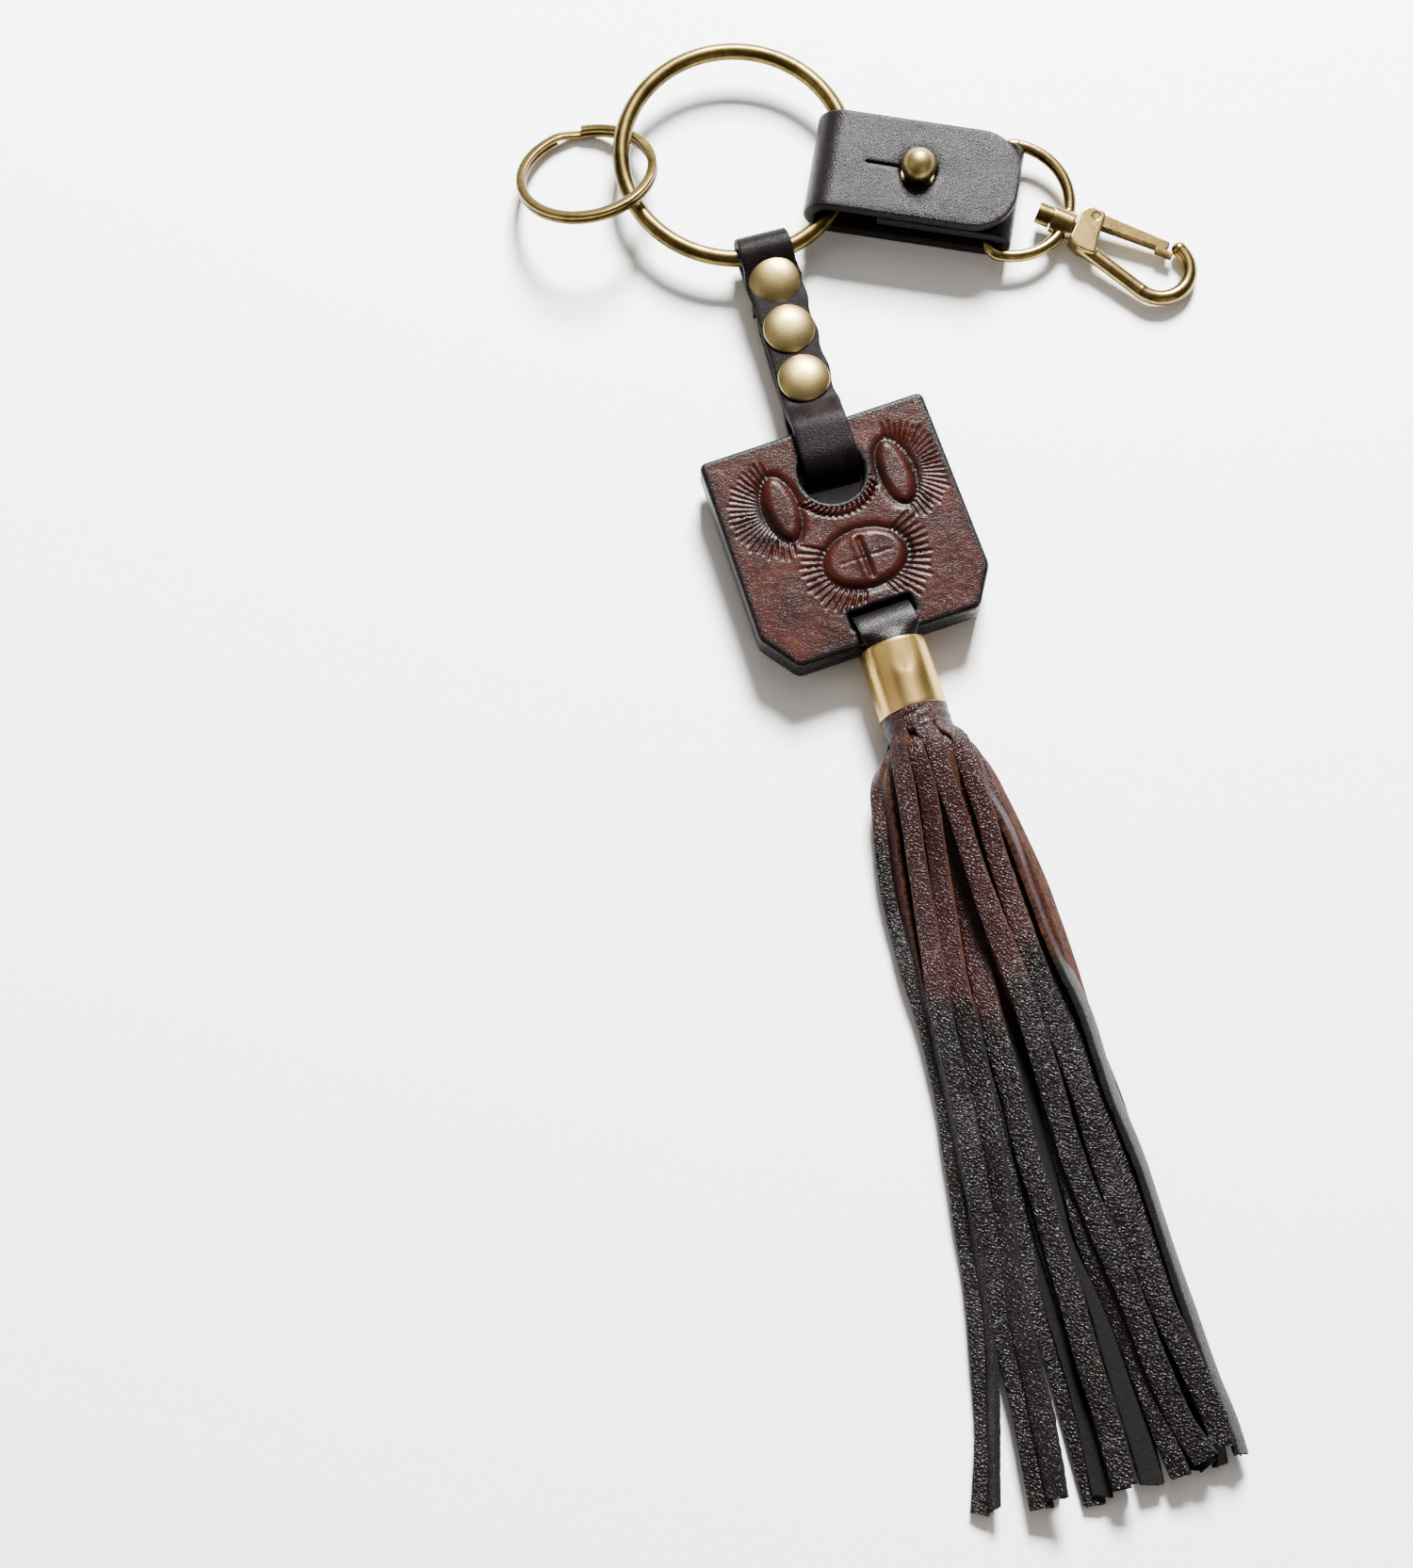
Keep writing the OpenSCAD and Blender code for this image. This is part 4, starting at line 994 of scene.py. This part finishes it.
# ------------------------------------------------------------------ clip strap
def clip_path(l):
    """length along the strap -> (u, z) of its middle and the outer normal"""
    l = np.asarray(l, float)
    u, z, nu, nz = (np.zeros_like(l) for _ in range(4))
    k = l < 31.27
    u[k], z[k], nz[k] = 50 - l[k], 9.45, 1
    k = (l >= 31.27) & (l < 43.99)
    a = np.pi / 2 + (l[k] - 31.27) / 4.05
    u[k], z[k], nu[k], nz[k] = 18.73 + 4.05 * np.cos(a), 5.4 + 4.05 * np.sin(a), np.cos(a), np.sin(a)
    k = (l >= 43.99) & (l < 71.66)
    u[k], z[k], nz[k] = 18.73 + l[k] - 43.99, 1.35, -1
    k = (l >= 71.66) & (l < 80.46)
    a = -np.pi / 2 + (l[k] - 71.66) / 2.8
    u[k], z[k], nu[k], nz[k] = 46.4 + 2.8 * np.cos(a), 4.15 + 2.8 * np.sin(a), np.cos(a), np.sin(a)
    k = l >= 80.46
    u[k], z[k], nz[k] = 46.4 - (l[k] - 80.46), 6.95, 1
    return u, z, nu, nz


def make_clip_strap():
    hw, R, f = 9.4, 7.6, 1.8
    c1 = arc(R, -f, R, 270, 180, 22)
    c2 = arc(R, f, R, 180, 90, 22)
    outer = np.vstack([c2, [(100.26, hw), (100.26, -hw)], c1])[::-1]
    outer = resample(outer, 0.42)
    # the stud hole with its slit, as one outline
    a0 = math.degrees(math.asin(0.17 / 3.35))
    hole = np.vstack([arc(17.7, 0, 3.35, a0, 360 - a0, 44), [(26.7, -0.16), (26.9, 0), (26.7, 0.16)]])
    keyhole = resample(hole, 0.42)
    circ = [resample(arc(x, 0, 1.7, 0, 351, 24), 0.5) for x in (57.56, 94.56)]
    h = 1.1
    prof = [(0.45, -h, -1), (0.2, -h + 0.07, -0.7), (0.05, -h + 0.25, -0.3), (0, -h + 0.45, 0), (0.03, 0, 0), (0, h - 0.42, 0), (0.06, h - 0.2, 0.2), (0.2, h - 0.06, 0.6), (0.45, h, 1)]
    slit_prof = prof
    P, Z, S, F, part, mats = plate(outer, [keyhole] + circ, slit_prof, 0.42, 0.75, bottom_step=(0.42, 0.9))
    l, v = P[:, 0], P[:, 1]
    # pressed-in seat for the screw's head, and slow unevenness of the top
    d = np.hypot(l - 57.56, v)
    Z = Z - 0.98 * (part > 0.5) * (Z > 0) * (1 - smooth01((d - 3.55) / 0.5))
    Z = Z + 0.05 * fbm(np.stack([l, v], 1), 0.16, 2, 3.1) * (Z > 0.5)
    Z = Z - 0.12 * np.exp(-((np.hypot(l - 17.7, v) - 3.6) / 0.8) ** 2) * (Z > 0.5)
    u, z, nu, nz = clip_path(l)
    V = clip(u + nu * Z, v, z + nz * Z)
    uvw = np.stack([l, v, S], 1)
    ob = mesh_object("clip_strap_leather", V, outward(V, F), BLACK, {"uvw": uvw, "side": S}, sharp=45)
    finish_piece(ob, "clip", ["clip_strap"])


# ------------------------------------------------------------------ tooled plaque
def round_outline(pts, radii, step):
    """corners of an anticlockwise outline rounded"""
    p = np.array(pts, float)
    if loop_area(p) < 0:
        p, radii = p[::-1], radii[::-1]
    out = []
    for i in range(len(p)):
        a, b, c = p[i - 1], p[i], p[(i + 1) % len(p)]
        u, w = unit(a - b), unit(c - b)
        th = math.acos(float(np.clip(u @ w, -1, 1)))
        r = radii[i]
        t = r / math.tan(th / 2)
        cen = b + unit(u + w) * (r / math.sin(th / 2))
        q0, q1 = b + u * t - cen, b + w * t - cen
        a0, a1 = math.atan2(q0[1], q0[0]), math.atan2(q1[1], q1[0])
        d = (a1 - a0 + math.pi) % (2 * math.pi) - math.pi
        out += [cen + r * np.array([math.cos(a0 + d * k / 6), math.sin(a0 + d * k / 6)]) for k in range(7)]
    return resample(out, step)


def closed_curve(pts, n=16):
    """smooth closed curve through the points"""
    p = np.array(pts, float)
    out = []
    for i in range(len(p)):
        p0, p1, p2, p3 = p[i - 1], p[i], p[(i + 1) % len(p)], p[(i + 2) % len(p)]
        t = np.linspace(0, 1, n, endpoint=False)[:, None]
        out.append(0.5 * ((2 * p1) + (-p0 + p2) * t + (2 * p0 - 5 * p1 + 4 * p2 - p3) * t**2 + (-p0 + 3 * p1 - 3 * p2 + p3) * t**3))
    return np.vstack(out)


def line_dist(P, a, b):
    """distance to a segment and place along it, 0..1"""
    ab = b - a
    t = ((P - a) @ ab) / (ab @ ab)
    tc = np.clip(t, 0, 1)
    d = P - a - tc[:, None] * ab
    return np.hypot(d[:, 0], d[:, 1]), tc


def curve_dist(P, c):
    best = np.full(len(P), 1e9)
    along = np.zeros(len(P))
    L = np.r_[0, np.cumsum(np.hypot(*np.diff(c, axis=0).T))]
    for i in range(len(c) - 1):
        d, t = line_dist(P, c[i], c[i + 1])
        k = d < best
        best[k] = d[k]
        along[k] = L[i] + t[k] * (L[i + 1] - L[i])
    return best, along


def open_curve(pts, step=0.5):
    p = np.array(pts, float)
    q, _ = spline(np.c_[p, np.zeros(len(p))], step)
    return q[:, :2]


AXIS = -5.2
PETAL_L = [(AXIS - 10.2 + 2.7 * math.cos(t), -66.5 + 6.0 * math.sin(t)) for t in np.linspace(0, 2 * math.pi, 14, endpoint=False)]
PETAL_R = [(2 * AXIS - x, y) for x, y in PETAL_L]
LOBE = [(AXIS + 7.2 * math.cos(t), -79.4 + 5.2 * math.sin(t)) for t in np.linspace(0, 2 * math.pi, 16, endpoint=False)]
INNER = [(AXIS, -76.0), (AXIS, -78.2), (AXIS, -80.6), (AXIS, -82.8)]
CREASE = [(AXIS - 4.4, -79.4), (AXIS - 1.5, -79.4), (AXIS + 1.5, -79.4), (AXIS + 4.4, -79.4)]


def tooling(P, border, hole):
    """height in mm of the tooled pattern over the plaque's face"""
    h = np.zeros(len(P))
    solid = np.zeros(len(P), bool)
    ground = np.zeros(len(P))
    shapes = []
    for pts, lift in ((PETAL_L, 0.34), (PETAL_R, 0.36), (LOBE, 0.42)):
        c = closed_curve(pts)
        inside = in_loop(P, c)
        d = seg_dist(P, c)
        shapes.append((c, inside, d))
        # carved outline, rounded rise inside, ground pressed down outside
        h += np.where(inside, lift * smooth01(d / 1.5) - 0.30 * np.exp(-(d / 0.34) ** 2), 0)
        ground = np.maximum(ground, np.where(inside, 0, np.exp(-(d / 0.85) ** 2)))
        solid |= inside
    h -= np.where(solid, 0, 0.42 * ground)
    # two crossed cuts in the medallion
    d, t = curve_dist(P, open_curve(INNER))
    h -= np.where(shapes[2][1], 0.34 * np.exp(-(d / 0.4) ** 2), 0)
    h += np.where(shapes[2][1], 0.16 * np.exp(-((d - 1.0) / 0.6) ** 2), 0)
    d, t = curve_dist(P, open_curve(CREASE))
    h -= np.where(shapes[2][1], 0.1 * np.exp(-(d / 0.22) ** 2), 0)
    # fans of cuts beside the petals and the lobe
    free = ~solid
    fans = (
        ((AXIS - 10.2, -66.5), 95, 265, 25, PETAL_L, 9.0, (1.0, 1.0)),
        ((AXIS + 10.2, -66.5), 85, -85, 25, PETAL_R, 9.0, (1.0, 1.0)),
        ((AXIS, -79.4), 150, 250, 15, LOBE, 11.0, (1.0, 1.0)),
        ((AXIS, -79.4), 30, -70, 15, LOBE, 11.0, (1.0, 1.0)),
    )
    for (cx, cy), a0, a1, n, base, reach, (ex, ey) in fans:
        c = closed_curve(base)
        ang = np.radians(np.linspace(a0, a1, n))
        for j, t in enumerate(ang):
            dv = np.array([math.cos(t) * ex, math.sin(t) * ey])
            # leave the shape before the cut begins
            q = np.arange(0.5, 12, 0.15)[:, None] * dv + [cx, cy]
            out = np.where(~in_loop(q, c))[0]
            if not len(out):
                continue
            st = (out[0] * 0.15 + 0.5) + 0.65
            en = reach + 0.35 * math.sin(j * 2.3)
            if en < st + 1.2:
                continue
            A, B = np.array([cx, cy]) + dv * st, np.array([cx, cy]) + dv * en
            d, tt = line_dist(P, A, B)
            w_ = 0.2 + 0.08 * (1 - tt)
            h -= np.where(free, 0.36 * (1 - 0.55 * tt ** 2) * np.exp(-(d / w_) ** 2), 0)
    # stamped beads
    beads = []
    for pts in ([(AXIS + 7.3 * math.cos(t), -63 + 7.3 * math.sin(t)) for t in np.linspace(math.radians(212), math.radians(328), 9)],):
        q, _ = spline(np.c_[np.array(pts, float), np.zeros(len(pts))], 0.98)
        t = np.gradient(q[:, :2], axis=0)
        beads += [(b[0], b[1], math.atan2(v[1], v[0]) + 0.9) for b, v in zip(q, t)]
    for bx, by, an in beads:
        dx, dy = P[:, 0] - bx, P[:, 1] - by
        e = np.hypot((dx * math.cos(an) + dy * math.sin(an)) / 0.86, (-dx * math.sin(an) + dy * math.cos(an)) / 0.36)
        near = e < 2
        h = np.where(near, h * (1 - np.exp(-(e / 1.15) ** 4)) + 0.3 * np.exp(-(e / 0.8) ** 4) - 0.22 * np.exp(-((e - 1.25) / 0.3) ** 2), h)
    # worn and hand-made unevenness
    h += 0.05 * fbm(P, 0.22, 3, 1.3) + 0.02 * fbm(P, 1.1, 2, 5.0)
    k = smooth01((border - 0.9) / 1.2) * smooth01((hole - 0.5) / 0.9)
    return h * k


def make_plaque():
    outer = round_outline([(-26, -54.1), (14.4, -54.1), (14.1, -87.3), (9.9, -94), (-22.3, -94), (-27, -87.2)], [1.2, 1.2, 3, 2, 2, 3], 0.3)
    hole = resample(arc(-5.2, -63, 5.5, 0, 357, 96), 0.3)
    slot_ = round_outline([(-11.5, -90.8), (-0.5, -90.8), (-0.5, -87.85), (-11.5, -87.85)], [0.4, 0.4, 0.4, 0.4], 0.3)
    if loop_area(outer) < 0:
        outer = outer[::-1]
    # the edge's profile, rounded at the bottom and the top, with a groove where the two layers meet
    prof = [(0.7, 2.4, -1), (0.3, 2.5, -0.6), (0.05, 2.9, 0), (0, 3.2, 0), (0.02, 5.25, 0), (0.10, 5.4, 0), (0.02, 5.55, 0), (0, 7.6, 0), (0.08, 8.0, 0.2), (0.3, 8.28, 0.6), (0.7, 8.4, 1)]
    P, Z, S, F, part, mats = plate(outer, [hole, slot_], prof, 0.25, 0.22, gap=0.16, bottom_step=(1.2, 1.2))
    border = seg_dist(P, outer)
    rim = np.minimum(border, np.minimum(seg_dist(P, hole), seg_dist(P, slot_)))
    top = part == 2
    h = np.zeros(len(P))
    h[top] = tooling(P[top], border[top], np.minimum(seg_dist(P[top], hole), seg_dist(P[top], slot_)))
    Z = Z + h
    V = np.stack([P[:, 0], P[:, 1], Z], 1)
    uvw = V.copy()
    ob = mesh_object("plaque_tooled_leather", V, F, [BACK, PAINT, TOOLED], {"uvw": uvw, "side": S, "recess": -h, "rim": rim}, mat_index=mats, sharp=60)
    finish_piece(ob, "plaque", ["plaque_front", "plaque_back"])


# ------------------------------------------------------------------ build
make_split_ring()
make_hanger()
make_rivets()
make_tassel_loop()
make_tube()
make_fringe()
make_clip_strap()
make_plaque()
soften("hook_body", "hook_frame_cast", 0.13, 9, LIGHT, "hook")
soften("gate", "hook_gate_cast", 0.10, 5, LIGHT, "gate")
soften("swivel_eye", "swivel_eye_cast", 0.12, 5, LIGHT, "eye")
soften("stud_ball", "stud_ball_turned", 0.11, 3, RIVET, "clip")

# ------------------------------------------------------------------ stage
bm_floor = bpy.data.meshes.new("floor")
bm_floor.from_pydata([(-3, -3, 0), (3, -3, 0), (3, 3, 0), (-3, 3, 0)], [], [(0, 1, 2, 3)])
floor = bpy.data.objects.new("floor", bm_floor)
scene.collection.objects.link(floor)
bm_floor.materials.append(FLOOR)


def area(name, loc, target, size, power, colour=(1, 1, 1), size_y=None):
    d = bpy.data.lights.new(name, "AREA")
    d.shape = "RECTANGLE"
    d.size = size
    d.size_y = size_y or size
    d.energy = power
    d.color = colour
    o = bpy.data.objects.new(name, d)
    o.location = loc
    o.rotation_euler = (Vector(target) - Vector(loc)).to_track_quat("-Z", "Y").to_euler()
    scene.collection.objects.link(o)
    return o


area("key", (0.34, 0.74, 0.66), (0, 0, 0), 0.30, 108, (1.0, 0.992, 0.98))
area("top", (0.22, 0.50, 1.02), (0, -0.02, 0), 0.75, 2.2, (1.0, 0.96, 0.93))
area("fill", (-0.85, 0.10, 0.60), (0, -0.02, 0), 0.7, 1.7, (1.0, 0.86, 0.76))
area("low", (0.15, -0.95, 0.55), (0, -0.05, 0), 0.7, 1.9, (1, 0.86, 0.76))

# a studio that is bright round the sides and dark overhead
world = bpy.data.worlds.new("studio")
scene.world = world
world.use_nodes = True
wt = world.node_tree
bg = wt.nodes["Background"]
tc = wt.nodes.new("ShaderNodeTexCoord")
sep = wt.nodes.new("ShaderNodeSeparateXYZ")
wr_ = wt.nodes.new("ShaderNodeValToRGB")
wt.links.new(tc.outputs["Generated"], sep.inputs[0])
wt.links.new(sep.outputs["Z"], wr_.inputs[0])
wt.links.new(wr_.outputs[0], bg.inputs[0])
for e_, (p_, c_) in zip([wr_.color_ramp.elements[0], wr_.color_ramp.elements[1], wr_.color_ramp.elements.new(0.5)], ((0.0, 0.42), (0.85, 0.07), (0.4, 0.34))):
    e_.position, e_.color = p_, (c_, c_ * 0.87, c_ * 0.79, 1)
bg.inputs[1].default_value = 0.29
